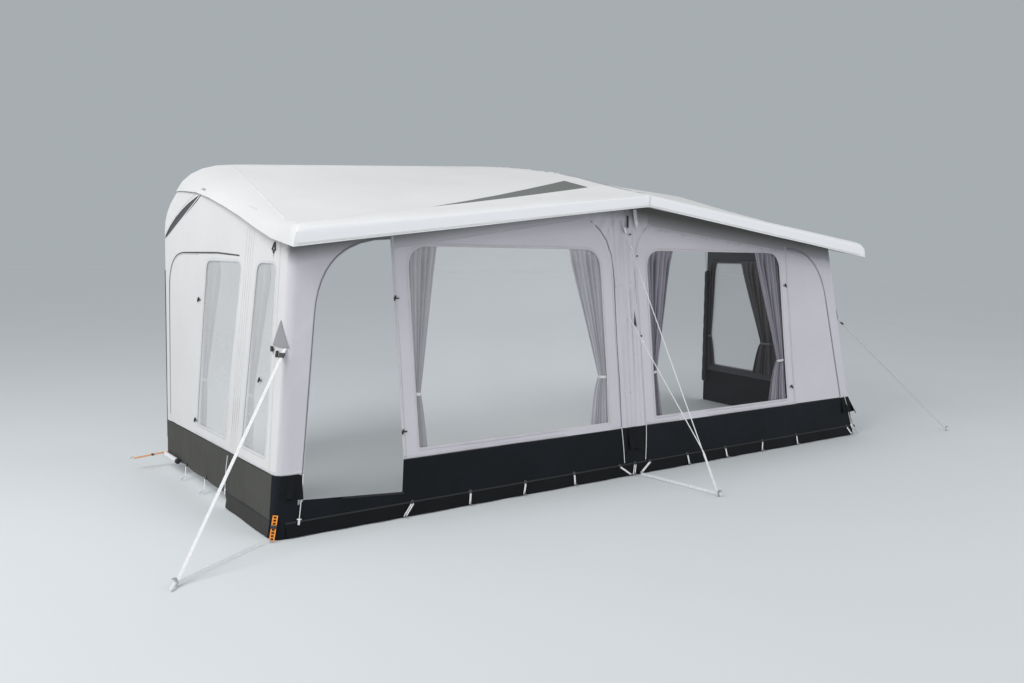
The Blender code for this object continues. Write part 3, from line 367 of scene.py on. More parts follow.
# Painted light and shade: copies of the curtain cloth painted lighter for the lit left side and dark for the
# shaded right side
CURTAIN_LIT = cloth("curtain_painted_light", "curtain_cloth", (0.62, 0.62, 0.64), creases=0.3, sheen=0.3, vary=0.06,
                     zones=(("fold", (0.34, 0.34, 0.36)),), **DRAPE)
CURTAIN_SHADED = cloth("curtain_painted_shade", "curtain_cloth", (0.13, 0.115, 0.12), creases=0.3, sheen=0.2, vary=0.1,
                    zones=(("fold", (0.035, 0.03, 0.032)),), **DRAPE)
STRIPE = cloth("curtain_stripe", "curtain_cloth", (0.52, 0.51, 0.55), creases=0.2, sheen=0.35,
               zones=(("fold", (0.22, 0.21, 0.24)),), **DRAPE)
SLEEVE = cloth("beam_sleeve", "beam_sleeve", (0.42, 0.43, 0.45), 0.6, thread=0.002)
FOAM = cloth("pad_black", "foam_pad", (0.02, 0.02, 0.022), 0.8, creases=0.5)
# Painted shade: the strap patch is dark grey for the shade on its pulled-out side
PATCH_SHADED = cloth("patch_painted_shade", "wall_cloth", (0.30, 0.295, 0.31), creases=0.4)
FILM = clear_film("window_film", (0.12, 0.125, 0.13), 0.07)
FILM_LEFT = clear_film("window_film_left", (0.92, 0.93, 0.94), 0.14)
FILM_SIDE = clear_film("window_film_side", (0.74, 0.74, 0.74), 0.36, 0.05)
FILM_FAR = clear_film("window_film_far", (0.80, 0.81, 0.82), 0.28)
BLACK_TAPE = webbing("tape_black", "foam_pad", (0.03, 0.03, 0.032))
WHITE_TAPE = webbing("tape_white", "white_webbing", (0.80, 0.80, 0.80))
# Painted shade: the white tie tape painted dark grey for the right side's shaded curtains
TAPE_SHADED = webbing("tape_painted_shade", "white_webbing", (0.20, 0.19, 0.20))
GROUND_TAPE = webbing("tape_ground", "white_webbing", (0.86, 0.87, 0.88))
ORANGE = plastic("strap_orange", "orange_webbing", (0.88, 0.30, 0.03), 0.55)
BLACK = plastic("plastic_black", "black_plastic", (0.022, 0.022, 0.024))
WHITE = plastic("plastic_white", "white_plastic", (0.80, 0.80, 0.80))
STEEL = steel("peg_steel", "peg_steel", (0.55, 0.56, 0.58))
SEAM = sewn("seam_wall", "wall_cloth", (0.57, 0.547, 0.58), (0.40, 0.385, 0.42), 0.0065)
SEAM_PALE = sewn("seam_pale", "side_cloth", (0.66, 0.66, 0.67), (0.50, 0.50, 0.51), 0.0065)
SEAM_ROOF = sewn("seam_roof", "roof_cloth", (0.745, 0.74, 0.73), (0.66, 0.655, 0.65), 0.0065)
SEAM_DARK = sewn("seam_skirt", "skirt_cloth", (0.012, 0.013, 0.015), (0.04, 0.04, 0.043), 0.004)
BINDING = sewn("window_binding", "wall_cloth", (0.59, 0.566, 0.60), (0.43, 0.413, 0.45), 0.0075)
BINDING_PALE = sewn("window_binding_pale", "side_cloth", (0.66, 0.66, 0.67), (0.50, 0.50, 0.51), 0.0075)
ZIP = sewn("zip_dark", "black_plastic", (0.10, 0.10, 0.105), (0.03, 0.03, 0.03), 0.005, 0.5, teeth=True)
ZIP_GREY = sewn("zip_grey", "black_plastic", (0.30, 0.295, 0.33), (0.21, 0.205, 0.24), 0.005, 0.5, teeth=True)


# Building helpers

def turned_out(verts, faces):
    """Faces with their winding turned so that the closed form faces out."""
    total = 0.0
    for face in faces:
        for i in range(1, len(face) - 1):
            total += verts[face[0]].dot(verts[face[i]].cross(verts[face[i + 1]]))
    return faces if total >= 0 else [face[::-1] for face in faces]


def placed(name, mesh, smooth, body=BODY):
    mesh.shade_smooth()
    mesh.set_sharp_from_angle(angle=math.radians(smooth))
    item = bpy.data.objects.new(name, mesh)
    scene.collection.objects.link(item)
    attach(item, body)
    return item


def add_mesh(name, verts, faces, material, smooth=35.0, slot=None, stands_for=None):
    mesh = bpy.data.meshes.new(name)
    mesh.from_pydata([tuple(vert) for vert in verts], [], turned_out(verts, faces))
    mesh.materials.append(material)
    mesh.update()
    item = placed(name, mesh, smooth)
    if stands_for:
        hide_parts(stands_for)
    return item


def merged(name, parts, material, slot=None, stands_for=None):
    """One mesh from several (verts, faces) parts."""
    verts, faces = [], []
    for part_verts, part_faces in parts:
        first = len(verts)
        verts += part_verts
        faces += [[first + i for i in face] for face in turned_out(part_verts, part_faces)]
    return add_mesh(name, verts, faces, material, 40.0, slot, stands_for)


def lofted(rings, closed=False):
    """Verts and faces of a tube through rings of as many points each."""
    count, size = len(rings), len(rings[0])
    faces = []
    for i in range(count if closed else count - 1):
        j = (i + 1) % count
        for k in range(size):
            m = (k + 1) % size
            faces.append([i * size + k, i * size + m, j * size + m, j * size + k])
    if not closed:
        faces += [list(range(size))[::-1], [(count - 1) * size + k for k in range(size)]]
    return [spot for ring in rings for spot in ring], faces


def frame_of(direction, face):
    across = direction.cross(face).normalized()
    return across, across.cross(direction).normalized()


def runs_of(points, closed=False):
    """Direction of a route at each of its points."""
    last = len(points) - 1
    if closed:
        return [(points[(i + 1) % (last + 1)] - points[i - 1]).normalized() for i in range(last + 1)]
    return [(points[min(i + 1, last)] - points[max(i - 1, 0)]).normalized() for i in range(last + 1)]


def length_of(points):
    return sum((b - a).length for a, b in zip(points, points[1:]))


BAND_TOP = 0.82


def swept(points, normals, width, thickness, closed=False):
    """Flat band along points, lying on its normals' side, narrower on top."""
    rings = []
    for point, normal, run in zip(points, normals, runs_of(points, closed)):
        across, face = frame_of(run, normal)
        if face.dot(normal) < 0:
            face = -face
        rings.append([point + across * width / 2 * a + face * thickness * b
                      for a, b in ((-1, 0), (1, 0), (BAND_TOP, 1), (-BAND_TOP, 1))])
    verts, faces = lofted(rings, closed)
    return verts, [[face[0], *face[:0:-1]] for face in faces]


def band(name, route, width, thickness, material, closed=False, slot=None):
    """Flat band along a route of (point, normal) pairs, marked with the distances across and along it."""
    points, normals = zip(*route)
    item = add_mesh(name, *swept(points, normals, width, thickness, closed), material, 50.0, slot)
    values = []
    for i in range(len(points)):
        run = length_of(points[:i + 1])
        for share in (-1, 1, BAND_TOP, -BAND_TOP):
            values += [width / 2 * share, run, 0.0]
    item.data.attributes.new("run", "FLOAT_VECTOR", "POINT").data.foreach_set("vector", values)


def turns(count):
    return [math.tau * n / count for n in range(count)]


def circle(middle, across, face, radius, sides):
    return [middle + across * radius * math.cos(turn) + face * radius * math.sin(turn) for turn in turns(sides)]


def tube(points, radius, sides=8, taper=None):
    """Round tube along points."""
    rings, face = [], None
    for i, (point, run) in enumerate(zip(points, runs_of(points))):
        if face is None:
            face = UP if abs(run.z) < 0.9 else ACROSS
        across, face = frame_of(run, face)
        rings.append(circle(point, across, face, radius * (taper[i] if taper else 1), sides))
    return lofted(rings)


def ring(middle, normal, along, length, width, radius, sides=6, steps=16):
    """Closed oval loop of round wire."""
    across = along.cross(normal).normalized()
    points = [middle + along * length / 2 * math.cos(turn) + across * width / 2 * math.sin(turn)
              for turn in turns(steps)]
    return lofted([circle(point, *frame_of(run, normal), radius, sides)
                   for point, run in zip(points, runs_of(points, True))], True)


def block(middle, direction, face, length, width, thickness, bevel=0.25):
    """Block with bevelled long edges."""
    across, face = frame_of(direction, face)
    w, t = width / 2, thickness / 2
    b = min(w, t) * bevel
    outline = ((-w, -t + b), (-w + b, -t), (w - b, -t), (w, -t + b), (w, t - b), (w - b, t),
               (-w + b, t), (-w, t - b))
    return lofted([[middle + direction * length * run + across * a * keep + face * c * keep for a, c in outline]
                   for run, keep in ((-0.5, 0.8), (-0.42, 1.0), (0.42, 1.0), (0.5, 0.8))])


def slab(fronts, backs, width):
    """Verts and faces of a thin sheet, from both sides' points in rows of a width."""
    total, faces = len(fronts), []
    rows, end = total // width - 1, width - 1
    for row in range(rows):
        a = row * width
        for n in range(a, a + end):
            faces += [[n, n + 1, n + 1 + width, n + width],
                      [total + n, total + n + width, total + n + 1 + width, total + n + 1]]
        b = a + width
        faces += [[a, b, total + b, total + a], [a + end, total + a + end, total + b + end, b + end]]
    last = rows * width
    for n in range(end):
        faces += [[n, total + n, total + n + 1, n + 1],
                  [last + n, last + n + 1, total + last + n + 1, total + last + n]]
    return fronts + backs, faces


def sheet_on(name, skin, rows, thickness, material, smooth=60, slot=None):
    """Thin sheet through rows of (place along, height, distance out) on a skin."""
    fronts, backs = [], []
    for row in rows:
        for place in row:
            spot, normal = skin.at(*place)
            fronts.append(spot + normal * thickness)
            backs.append(spot)
    return add_mesh(name, *slab(fronts, backs, len(rows[0])), material, smooth, slot)


def half_area(item):
    return sum(poly.area for poly in item.data.polygons) / 2


def welded(node):
    bm = bmesh.new()
    bm.from_mesh(nodes[node].data)
    bmesh.ops.remove_doubles(bm, verts=bm.verts, dist=0.00002)
    return bm


def flat_size(mesh, area):
    """Length and width of the cloth before it was hung: along its own main directions, unrolled."""
    spots = np.array([vert.co for vert in mesh.vertices])
    spots -= spots.mean(axis=0)
    turned = spots @ np.linalg.svd(spots, full_matrices=False)[2].T
    pairs = []
    for cloud in (spots, turned):
        spans = sorted((cloud.max(axis=0) - cloud.min(axis=0)).tolist(), reverse=True)
        pairs.append((spans[0] * spans[1], spans[0], spans[1]))
    _, length, width = min(pairs)
    unrolled = min(max(area / (0.97 * length * width), 1.0), area / (0.31 * length * width))
    return round(length, 2), round(width * unrolled + 0.005, 3)


# Cloth panels

def dress(node, material, out, inner=None, cell=0.07, move=None, body=BODY, warp=None, zones=()):
    """Cloth piece in a CAD sheet's place: finer, with its creases, and its lining on the inside."""
    bm = welded(node)
    for _ in range(5):
        long_edges = [edge for edge in bm.edges if edge.calc_length() > cell]
        if not long_edges:
            break
        bmesh.ops.subdivide_edges(bm, edges=long_edges, cuts=1, use_grid_fill=False)
        bmesh.ops.triangulate(bm, faces=[face for face in bm.faces if len(face.verts) > 3])
    bm.normal_update()
    inside = [1 if inner and face.normal.dot(out) < -0.3 else 0 for face in bm.faces]
    if warp:
        for vert in bm.verts:
            vert.co = warp(vert.co)
    area = sum(face.calc_area() for face in bm.faces) / 2
    if move:
        for vert in bm.verts:
            vert.co += out * move(vert.co)
    mesh = bpy.data.meshes.new(node + "_cloth")
    bm.to_mesh(mesh)
    bm.free()
    for name in [layer.name for layer in mesh.attributes if layer.name == "custom_normal"]:
        mesh.attributes.remove(mesh.attributes[name])
    mesh.materials.clear()
    for layer in (material, inner) if inner else (material,):
        mesh.materials.append(layer)
    mesh.polygons.foreach_set("material_index", inside)
    for zone, share in zones:
        values = mesh.attributes.new(zone, "FLOAT", "POINT")
        values.data.foreach_set("value", [share(vert) for vert in mesh.vertices])
    item = placed(node + "_cloth", mesh, 50.0, body)
    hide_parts(node)
    flat_size(mesh, area)


def ripple(scale, height, stretch):
    """Slow unevenness of cloth, the same on both of its faces."""
    def move(co):
        spot = Vector((co.x * stretch[0], co.y * stretch[1], co.z * stretch[2])) * scale
        return noise.noise(spot) * height
    return move


def folded_up(co):
    """The left skirt's ground flap is folded in along the rear part, so its edge hangs clear there."""
    d = HALF_DEPTH - co.y
    cut = clamp((1.45 - d) / 0.05) * (0.108 - 0.012 * abs(math.sin(d * 6.6)))
    flank = FLANKS[-1].point
    return co + flank(d, cut + co.z * (SKIRT_HEIGHT - cut) / SKIRT_HEIGHT) - flank(d, co.z)


def header_line(x):
    """Height of the seam on the front, where the canopy's painted shade stops."""
    return blend(2.20 - 0.1545 * abs(x), 2.13 - 0.105 * abs(x), clamp((x + 0.4) / 0.6))


def canopy_shade(vert):
    """How far into the canopy's painted shade a point of the front lies."""
    rise = vert.co.z - header_line(vert.co.x)
    if rise < -0.012 or abs(vert.co.x) > 3.02:
        return 0.0
    # Right of the middle the painted shade starts a third dark at the seam, so that its lower edge is crisp
    first = 0.30 if vert.co.x > 0.3 else 0.0
    return min(first + (1 - first) * max(rise, 0.0) / 0.12, 1.0)


def facing(vert):
    """How far a leg cover's cloth has turned to the front."""
    share = clamp((-vert.normal.y - 0.35) / 0.45)
    return share * share * (3 - 2 * share)


def tip_drawn_out(co):
    """The right end of the canopy runs out to a point."""
    return co + Vector((0.055, 0, -0.012)) * clamp((co.x - 2.78) / 0.2085) ** 2


def sill_slant(co):
    """The sill below the left doorway rises a little to the corner."""
    share = clamp((co.z - 0.12) / 0.08) if co.z < 0.3 and -2.95 < co.x < -2.16 else 0.0
    return co + UP * (0.055 * clamp((-co.x - 2.19) / 0.72) - 0.024) * share


def pleats(co):
    """Uneven upright pleats of the centre cover."""
    x = co.x + 0.006 * math.sin(co.z * 2.1 + 1.0)
    wave = math.sin(x * 118) + 0.6 * math.sin(x * 67 + 1.7) + 0.4 * math.sin(x * 213 + co.z * 1.3)
    return 0.0042 * wave * clamp((0.19 - abs(co.x)) / 0.05)


roof_sway = ripple(1.1, 0.006, (1, 0.7, 1))
wall_sway = ripple(1.5, 0.004, (1, 1, 0.3))
skirt_sway = ripple(3.0, 0.004, (1, 1, 0.4))
# Front pieces marked for the canopy's painted shade
shaded = (("canopy_shade", canopy_shade),)
lean_front = (FRONT + UP * FRONT_LEAN).normalized()
dress("roof_panel", ROOF, UP, UNDER, 0.09, roof_sway)
# The canopy's front-facing faces are marked for their painted light
dress("front_canopy", CANOPY, UP, UNDER, 0.05, roof_sway, warp=tip_drawn_out,
      zones=(("fascia_painted_light", lambda vert: clamp((-vert.normal.y - 0.65) / 0.3)),))
for side, name in NAMES.items():
    left = side < 0
    lean_side = (SIDES[side] + UP * CORNER_LEAN / 2).normalized()
    dress(f"roof_inset_{name}", INSET, UP, UNDER, 0.09, roof_sway)
    dress(f"gusset_{name}", SIDE, SIDES[side], LINING, 0.06)
    dress(f"wall_front_{name}", WALL, lean_front, LINING, 0.05, wall_sway, zones=shaded)
    dress(f"door_header_{name}", WALL, lean_front, LINING, 0.05, wall_sway, zones=shaded)
    # Leg covers: lilac where they face the front, with the canopy's painted shade only on that front part
    dress(f"leg_cover_{name}", LEG, (lean_front + lean_side).normalized(), LINING, 0.04, wall_sway,
          zones=(("front", facing), ("canopy_shade", lambda vert: canopy_shade(vert) * facing(vert))))
    dress(f"wall_side_{name}", SIDE, lean_side, LINING, 0.06, wall_sway)
    # Side skirts in their lighter copy of the skirt cloth, painted light
    dress(f"skirt_side_{name}", SKIRT_PAINTED_LIGHT, lean_side, SKIRT, 0.05, skirt_sway,
          warp=folded_up if left else None)
    dress(f"skirt_front_{name}", SKIRT, (lean_front + lean_side * 0.2).normalized(), None, 0.05, skirt_sway,
          warp=sill_slant if left else None)
    dress(f"window_front_{name}", FILM_LEFT if left else FILM, lean_front, None, 0.12)
    for spot in ("rear", "front"):
        dress(f"window_side_{name}_{spot}", FILM_SIDE if left else FILM_FAR, lean_side, None, 0.12)
dress("leg_cover_centre", WALL, lean_front, LINING, 0.018, pleats, zones=shaded)
dress("door_front_right", WALL, lean_front, LINING, 0.06, wall_sway, "door_front_right", zones=shaded)
dress("door_side_left", SIDE, SIDES[-1], LINING, 0.06, wall_sway, "door_side_left")

# Curtains
TIE_HEIGHT = 0.84
HEADER_RISE = 0.055
CURTAIN_ROWS, CURTAIN_COLUMNS, CURTAIN_FOLDS = 39, 84, 6
CURTAIN_CLOTH = 0.0022
STRIPED_COLUMNS = (6, 7, 10, 73, 76, 77)


def curtain(node, skin, tops, ties, feet, top, foot, seat, material=CURTAIN, edge=STRIPE, tape=WHITE_TAPE):
    """Gathered curtain: soft pleats from a narrow heading, drawn in at the tie-back, loose below it."""
    low_end = foot - 0.015
    tie_share = (top - TIE_HEIGHT) / (top - foot)
    heights = [top + HEADER_RISE * share for share in (1, 0.8, 0.6, 0.4)]
    heights += [blend(top, low_end, t) for t in shares(CURTAIN_ROWS)]
    rows, fold_shade = [], []
    for row, z in enumerate(heights):
        share = clamp((top - z) / (top - foot))
        if share < tie_share:
            t = pull = share / tie_share
            ends = tops, ties
        else:
            t = ((share - tie_share) / (1 - tie_share)) ** 0.6
            pull, ends = 1 - t, (ties, feet)
        low, high = (blend(a, b, t) for a, b in zip(*ends))
        free = clamp((row - 1) / 6)
        depth = 0.023 * free * (1 - 0.35 * pull)
        places = []
        for a in shares(CURTAIN_COLUMNS):
            sway = 0.06 * math.sin(a * 9.0 + z * 3.0) * free
            fold = (0.5 - 0.5 * math.cos(math.tau * CURTAIN_FOLDS * (a + sway * 0.35))) ** 0.7
            fold += 0.35 * math.sin(math.tau * 1.7 * a + z * 1.6 + 1.0) * free
            stand = CLOTH + seat + (0.0105 - CLOTH) * free + depth * max(fold, 0.0)
            places.append((blend(low, high, a), z, -stand - CURTAIN_CLOTH))
            # Share of painted shade, deepest in the pleats' valleys
            fold_shade.append(clamp((fold - 0.35) / 0.65) ** 1.3 * free)
        rows.append(places)
    item = sheet_on(node + "_cloth", skin, rows, CURTAIN_CLOTH, material, 80.0)
    item.data.materials.append(edge)
    across = [int(column in STRIPED_COLUMNS) for column in range(CURTAIN_COLUMNS) for _ in "fb"]
    item.data.polygons.foreach_set("material_index", (across + [0, 0]) * (len(rows) - 1) +
                                   [0, 0] * CURTAIN_COLUMNS)
    item.data.attributes.new("fold", "FLOAT", "POINT").data.foreach_set("value", fold_shade * 2)
    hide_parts(node)
    spots = []
    for turn in turns(28):
        spots.append(skin.at(sum(ties) / 2 + (ties[1] - ties[0]) * 0.53 * math.cos(turn),
                             TIE_HEIGHT + 0.004 * math.cos(turn), -0.0205 - 0.0135 * math.sin(turn))[0])
    middle = sum(spots, Vector()) / len(spots)
    band(f"tie_{node[8:]}", [(spot, (spot - middle).normalized()) for spot in spots], 0.022, 0.0016, tape,
         closed=True)
    track = [skin.at(blend(*tops, t), top + HEADER_RISE * 0.82, -(CLOTH + seat + 0.0024)) for t in shares(8)]
    # On the right side's shaded curtains the header band takes the dark skirt seam, as painted shade
    band(f"header_{node[8:]}", [(spot, -normal) for spot, normal in track], 0.016, 0.0012,
         SEAM if tape is WHITE_TAPE else SEAM_DARK, slot="wall_cloth")


# Places of the tops, ties and feet along the wall
for name, side, places in (("left_outer", -1, ((1.80, 2.056), (2.000, 2.050), (1.965, 2.046))),
                           ("left_inner", -1, ((0.255, 0.572), (0.250, 0.336), (0.262, 0.450))),
                           ("right_outer", 1, ((1.70, 2.056), (1.950, 2.046), (1.800, 2.040))),
                           ("right_inner", 1, ((0.255, 0.603), (0.262, 0.320), (0.266, 0.350)))):
    curtain(f"curtain_front_{name}", WALLS[side], *places, 1.89, 0.462, 0.0003)
for name, side, places in (("left_rear", -1, ((0.80, 1.02), (0.77, 0.84), (0.745, 0.86))),
                           ("left_front", -1, ((1.62, 1.80), (1.64, 1.70), (1.62, 1.76))),
                           ("right_rear", 1, ((0.09, 0.21), (0.10, 0.15), (0.10, 0.22))),
                           ("right_middle", 1, ((0.66, 1.16), (1.00, 1.15), (0.88, 1.16)))):
    # Side curtains painted lighter on the lit left side, and darker, ties too, on the shaded right side
    tone = (CURTAIN_LIT, CURTAIN_LIT) if side < 0 else (CURTAIN_SHADED, CURTAIN_SHADED, TAPE_SHADED)
    curtain(f"curtain_side_{name}", FLANKS[side], *places, 1.755, 0.49, 0.0008, *tone)

# Storm straps and guys
STRAP_WIDTH = 0.025
for name, start, end, count, fitted in (
        ("left", (-2.96761, -0.9391, 1.21027), (-3.80, -1.53425, 0.0165), 16, ["peg_left", "slider_left"]),
        ("right", (2.96869, -0.94018, 1.21027), (4.16, -1.53425, 0.0165), 16, ["peg_right", "slider_right"]),
        ("centre", (0.08656, -1.78022, 0.31111), (0.1, -1.93425, 0.0165), 15, ["peg_centre"])):
    points = evenly(Vector(start), Vector(end), count)
    face = frame_of(runs_of(points)[0], UP)[1]
    form = swept([spot - face * 0.001 for spot in points], [face] * len(points), STRAP_WIDTH, 0.002)
    strap = add_mesh(f"strap_{name}", *form, WHITE_TAPE, stands_for=f"storm_strap_{name}")
for name, start, end in (("upper", (-0.0003, -0.83402, 2.12087), (0.08225, -1.78007, 0.31139)),
                         ("lower", (0.0083, -0.94543, 1.3312), (0.09082, -1.7797, 0.3121))):
    points = evenly(Vector(start), Vector(end), 24)
    guy = add_mesh(f"guy_{name}", *tube(points, 0.004, 10), WHITE_TAPE, stands_for=f"guy_centre_{name}")


# Air beams in their sewn sleeves

def tube_of(node, axis, size):
    """Middles of a CAD tube's rings, from its lower end along an axis, and the radius there."""
    bm = welded(node)
    bm.verts.index_update()
    verts = sorted(bm.verts, key=lambda vert: vert.co.dot(axis))[:size]
    middles, seen, radius = [], set(), None
    while verts:
        middles.append(sum((vert.co for vert in verts), Vector()) / len(verts))
        if radius is None:
            radius = sum((vert.co - middles[0]).length for vert in verts) / len(verts)
        seen.update(verts)
        beyond = {edge.other_vert(vert) for vert in verts for edge in vert.link_edges} - seen
        verts = sorted(beyond, key=lambda vert: vert.index)
    bm.free()
    return middles, radius


def sleeve(node, axis, size, seam_towards, sides=20, step=0.02, dome=0.03):
    """Inflated beam in its sleeve: round, puckered inside its bends, with rounded ends and a seam."""
    middles, radius = tube_of(node, axis, size)
    radius *= 0.995
    route = [middles[0]]
    for start, end in zip(middles, middles[1:]):
        route += evenly(start, end, max(round((end - start).length / step), 1))[1:]
    for _ in range(3):
        route[1:-1] = [(a + b * 2 + c) / 4 for a, b, c in zip(route, route[1:], route[2:])]
    total, last = length_of(route), len(route) - 1
    rings, seam = [], []
    along, face = 0.0, ACROSS if abs(axis.z) > 0.5 else UP
    for i, (spot, run) in enumerate(zip(route, runs_of(route))):
        along += (spot - route[max(i - 1, 0)]).length
        turn_in = (route[max(i - 4, 0)] + route[min(i + 4, last)]) / 2 - spot
        bend = min(turn_in.length / 0.004, 1.0)
        wave = 0.0030 * bend * (0.5 + 0.5 * math.sin(along * math.tau / 0.055))
        across, face = frame_of(run, face)
        near_end = min(min(along, total - along) / dome, 1.0)
        full = 0.62 + 0.38 * math.sqrt(1 - (1 - near_end) ** 2)
        rings.append([])
        for turn in turns(sides):
            out = across * math.cos(turn) + face * math.sin(turn)
            inner = max(out.dot(turn_in.normalized()), 0.0) if turn_in.length > 1e-5 else 0.0
            uneven = 0.0007 * (1 + noise.noise(Vector((turn * 2, along * 6, len(node)))))
            rings[-1].append(spot + out * (radius * full - wave * inner - uneven))
        side_out = (seam_towards - run * seam_towards.dot(run)).normalized()
        if dome * 1.5 < along < total - dome * 1.5:
            seam.append((spot + side_out * (radius - 0.0006), side_out))
    add_mesh(f"sleeve_{node}", *lofted(rings), SLEEVE, 60, stands_for=node)
    band(f"zip_{node}", seam, 0.016, 0.0014, ZIP_GREY)


sleeve("air_beam_left", UP, 10, ACROSS)
sleeve("air_beam_right", UP, 10, -ACROSS)
sleeve("air_beam_centre", UP, 10, ACROSS)
sleeve("canopy_beam", ACROSS, 8, -FRONT, sides=16, step=0.03, dome=0.02)

# Foam pads at the rear edges: a sewn cover, drawn in by rows of stitches
PAD_FOOT, PAD_TOP, PAD_CHANNELS = 0.251, 1.659, 8
PAD_HALF_DEPTH, PAD_HALF_WIDTH, PAD_END = 0.0225, 0.0325, 0.018
for side, name in NAMES.items():
    rings = []
    for t in shares(96):
        full = abs(math.sin(math.pi * PAD_CHANNELS * t)) ** 0.4
        end = min(min(t, 1 - t) * (PAD_TOP - PAD_FOOT) / PAD_END, 1.0)
        end_share = 0.55 + 0.45 * math.sqrt(1 - (1 - end) ** 2)
        rings.append([])
        for turn in turns(24):
            a, b = (math.copysign(abs(c) ** 0.5, c) * end_share for c in (math.cos(turn), math.sin(turn)))
            into = CLOTH + 0.001 + PAD_HALF_DEPTH * (1 + b * (0.76 + 0.24 * full if b > 0 else 1.0))
            along = 0.0455 + PAD_HALF_WIDTH * a * (1.0 - 0.06 * (1 - full))
            rings[-1].append(FLANKS[side].at(along, blend(PAD_FOOT, PAD_TOP, t), -into)[0])
    add_mesh(f"pad_{name}", *lofted(rings), FOAM, 70, stands_for=f"rear_pad_{name}")

# Solids shown as they are
for node, material in (("rail_bead", WHITE_TAPE), ("inflation_valve", BLACK), ("valve_cap", BLACK),
                       ("peg_left", STEEL), ("peg_centre", STEEL), ("peg_right", STEEL),
                       ("slider_left", BLACK), ("slider_right", BLACK), ("slider_centre_upper", WHITE),
                       ("slider_centre_lower", WHITE)):
    nodes[node].data.materials.clear()
    nodes[node].data.materials.append(material)


# Seams, bindings, zips and piping

def leg_side(z):
    return 2.955 - 0.142 * z


def arch(shift):
    """Curved top of a front doorway, moved out by a shift."""
    start, end = Vector((leg_side(1.42) + shift, 1.42)), Vector((2.173, 1.93 + shift))
    knee = Vector((leg_side(1.93) + shift, end.y))
    return [tuple(curve(start, knee, end, t)) for t in shares(12)]


def tree_of(*names):
    verts, faces = [], []
    for name in names:
        mesh = bpy.data.objects[name + "_cloth"].data
        first = len(verts)
        verts += [vert.co.copy() for vert in mesh.vertices]
        faces += [[first + i for i in poly.vertices] for poly in mesh.polygons]
    return BVHTree.FromPolygons(verts, faces)


roof_tree = tree_of("roof_panel", "front_canopy", "roof_inset_left", "roof_inset_right")
canopy_tree = tree_of("front_canopy")
front_tree = tree_of("leg_cover_centre", "door_front_right",
                     *(f"{piece}_{name}" for piece in ("wall_front", "door_header", "leg_cover")
                       for name in NAMES.values()))


def settled(route, lift=0.0005, reach=0.025):
    """Route moved along its normals onto the front's visible cloth."""
    result = []
    for spot, normal in route:
        hit = front_tree.ray_cast(spot + normal * reach, -normal, 2 * reach)[0]
        result.append((spot if hit is None else hit + normal * lift, normal))
    return result


def under_roof(skin, u, towards):
    """Height at which a wall meets the roof over a place along it."""
    z = 1.8
    for _ in range(4):
        spot = skin.point(u, z) - towards * 0.04
        hit = roof_tree.ray_cast(Vector((spot.x, spot.y, 1.2)), UP)[0]
        if hit is None:
            return z
        z = hit.z - 0.008
    return z


def seen_from(tree, origins, direction, limit=math.inf):
    """Route of the spots that rays meet first, with normals back against the rays."""
    route = []
    for origin in origins:
        hit, normal = tree.ray_cast(Vector(origin), direction)[:2]
        if hit is None or hit.y > limit or (route and (route[-1][0] - hit).length < 0.004):
            continue
        route.append((hit, normal if normal.dot(direction) < 0 else -normal))
    return route


def rounded(points, radii, steps=7):
    result = []
    for i, here in enumerate(points):
        here = Vector(here)
        before = (Vector(points[i - 1]) - here).normalized() * radii[i]
        after = (Vector(points[(i + 1) % len(points)]) - here).normalized() * radii[i]
        result += [tuple(curve(here + before, here, here + after, t)) for t in shares(steps)]
    return result


def binding(name, skin, feet, heads, foot, head, radius, material):
    """Edging around a window, its upper corners rounded to a radius."""
    outline = rounded([(feet[0], foot), (feet[1], foot), (heads[1], head), (heads[0], head)],
                      (0.028, 0.028, radius, radius))
    band(name, skin.route(outline + outline[:1])[:-1], 0.022, 0.0014, material, closed=True)


